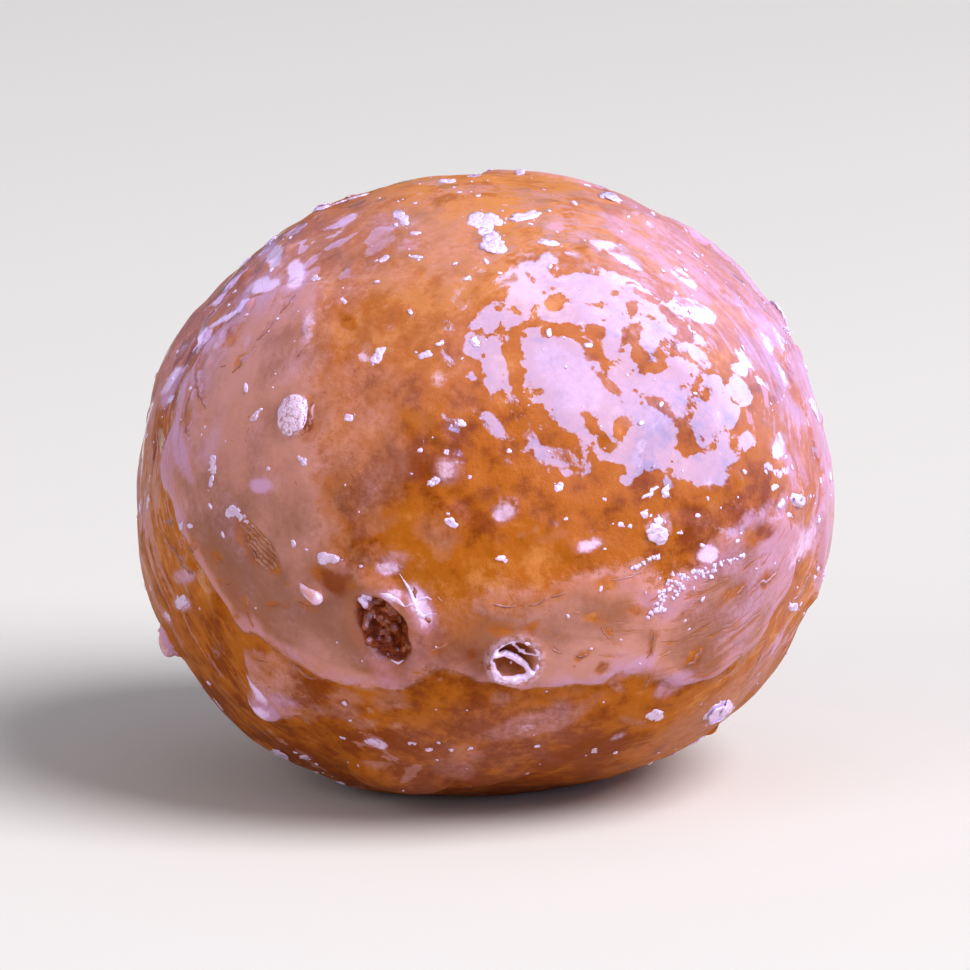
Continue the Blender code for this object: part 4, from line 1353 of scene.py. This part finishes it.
def makeCracks(material):
    heap = Heap()
    for step, (*place, length, width, turn) in enumerate(cracks["places"]):
        base = standOn(*place, turn)
        drape(heap, base, length, width, cracks["rise"], seed=step, bend=0.12 * length)
    heap.settle("cracks", material)


# Lengthwise ridges in the long scar: across, along, length, width
scar = {
    "azimuth": -40.8,
    "elevation": -0.9,
    "turn": -33,
    "ridges": [
        (-0.2, 0.6, 1.8, 0.24), (0.1, 0.36, 2.8, 0.26), (-0.1, 0.1, 3.2, 0.24), (0.2, -0.16, 3, 0.26),
        (0.3, -0.4, 2.6, 0.22), (0.5, -0.62, 1.6, 0.2), (-1.1, 0.2, 1.2, 0.2),
    ],
    "rise": 0.06,
    "brown": colour(162, 96, 60),
    "pink": colour(196, 134, 110),
}


def makeScar(material):
    heap = Heap()
    base = standOn(scar["azimuth"], scar["elevation"], scar["turn"])
    for step, (x, y, length, width) in enumerate(scar["ridges"]):
        ridge = base @ Matrix.Translation((x, y, 0))
        drape(heap, ridge, length, width, scar["rise"], seed=step, bend=0.12)
    heap.settle("scarRidges", material)


def twoToneMaterials():
    # the crumb, the blisters, the cracks and the scar: a grain, and where its two colours meet in it
    crumb = twoToneMaterial(
        "pitCrumb", (0.3, 3.0, 0.7), (-0.12, 0.12), pitCrumb["dark"], pitCrumb["light"],
        relief=0.08, Roughness=0.5, Coat_Weight=0.25, Coat_Roughness=0.2,
    )
    blister = twoToneMaterial(
        "crispBlister", (0.26, 2.0, 0.7), (-0.14, 0.04), crispBlister["brown"], crispBlister["pale"],
        relief=0.2, Roughness=0.4, Coat_Weight=0.5, Coat_Roughness=0.12,
    )
    crack = twoToneMaterial(
        "crackedGlaze", (0.35, 2.0, 0.6), (-0.15, 0.15), colour(*cracks["dark"]), colour(*cracks["brown"]),
        Roughness=0.5, Coat_Weight=0.2, Coat_Roughness=0.2,
    )
    ridge = twoToneMaterial(
        "scarRidges", (0.4, 3.0, 0.7), (-0.1, 0.1), scar["brown"], scar["pink"],
        Roughness=0.4, Coat_Weight=0.4, Coat_Roughness=0.12,
    )
    return crumb, blister, crack, ridge


print("setting drops, rims, webs, crumb and sugar on it")
sugar = setSugarMaterial()
crumb, blister, crack, ridge = twoToneMaterials()
makeDrops(milkyDropMaterial())
makeBubbleRims(sugar)
makePitWebs(sugar)
makePitCrumb(crumb)
makeFlakes(sugar)
makeCrispBlisters(blister)
makeCracks(crack)
makeScar(ridge)


# Table, lights and camera

stage = {
    "floorColour": colour(224, 225, 230),
    "floorSize": 3000,
    "cameraAzimuth": 0,
    "cameraElevation": 12,
    "cameraDistance": 380,
    "nearest": 10,  # what the camera can see
    "ballShare": 0.72,  # of the frame's width
    "sensor": 36,
    "aimBelow": 0.37,  # how far under the middle of its box the ball looks centred from this height
}


def makeFloor():
    shape = bmesh.new()
    bmesh.ops.create_grid(shape, x_segments=1, y_segments=1, size=stage["floorSize"] * mm / 2)
    mesh = bpy.data.meshes.new("tableTop")
    shape.to_mesh(mesh)
    shape.free()
    floor = link("tableTop", mesh)
    pale = Recipe("paleTable")
    matt = pale.finish(Base_Color=stage["floorColour"], Roughness=0.8, Specular_IOR_Level=0.0)
    mesh.materials.append(matt)


def aim(obj, middle, direction, distance):
    # stands a light or camera that many millimetres from a point, and turns it to that point
    away = Vector(direction).normalized()
    obj.location = middle + away * distance * mm
    obj.rotation_euler = (-away).to_track_quat("-Z", "Y").to_euler()


# Warm lights reach the dough, and cool ones show only as reflections in the gloss.
# direction, distance, size, power, tint, whether it is one of the cool ones
lights = {
    "keyWarm": ((0.67, -0.42, 0.85), 1200, 780, 18.0, (1.0, 0.95, 0.90), False),
    "keyGloss": ((0.76, -0.16, 0.60), 400, 1150, 58.0, (0.24, 0.44, 1.0), True),
    "fill": ((-0.8, -0.8, 0.5), 1500, 1200, 5.4, (1.0, 0.95, 0.92), False),
    "sideGloss": ((0.70, 0.56, 0.45), 450, 700, 1.8, (0.45, 0.40, 1.0), True),
    "edgeGloss": ((-0.60, 0.63, 0.49), 450, 450, 1.5, (0.45, 0.42, 1.0), True),
}

# The room's own light, and how much of it the gloss mirrors
room = {"tint": (1.0, 0.98, 0.97, 1), "light": 0.30, "mirrored": 0.12}


def makeLights():
    for name, (direction, distance, size, power, tint, mirrored) in lights.items():
        light = bpy.data.lights.new(name, "AREA")
        light.shape = "DISK"
        light.size = size * mm
        light.energy = power
        light.color = tint
        obj = link(name, light)
        aim(obj, Vector((0, 0, ball["height"] / 2)) * mm, direction, distance)
        obj.visible_glossy = mirrored
        obj.visible_diffuse = not mirrored
        obj.visible_transmission = False


def makeRoom():
    world = bpy.data.worlds.new("studio")
    bpy.context.scene.world = world
    world.use_nodes = True
    tree = world.node_tree
    background = tree.nodes["Background"]
    background.inputs["Color"].default_value = room["tint"]
    paths = tree.nodes.new("ShaderNodeLightPath")
    strength = tree.nodes.new("ShaderNodeMapRange")
    strength.inputs["To Min"].default_value = room["light"]
    strength.inputs["To Max"].default_value = room["mirrored"]
    tree.links.new(paths.outputs["Is Glossy Ray"], strength.inputs["Value"])
    tree.links.new(strength.outputs["Result"], background.inputs["Strength"])


def makeCamera():
    camera = bpy.data.cameras.new("camera")
    camera.sensor_width = stage["sensor"]
    camera.lens = stage["sensor"] * stage["cameraDistance"] * stage["ballShare"] / ball["width"]
    camera.clip_start = stage["nearest"] * mm
    obj = link("camera", camera)
    middle = Vector((0, 0, (cadBox[0][2] + cadBox[1][2]) / 2 - stage["aimBelow"] * mm))
    aim(obj, middle, towards(stage["cameraAzimuth"], stage["cameraElevation"]), stage["cameraDistance"])
    bpy.context.scene.camera = obj


print("setting the table, lights and camera")
makeFloor()
makeLights()
makeRoom()
makeCamera()
bpy.context.scene.view_settings.view_transform = "Standard"
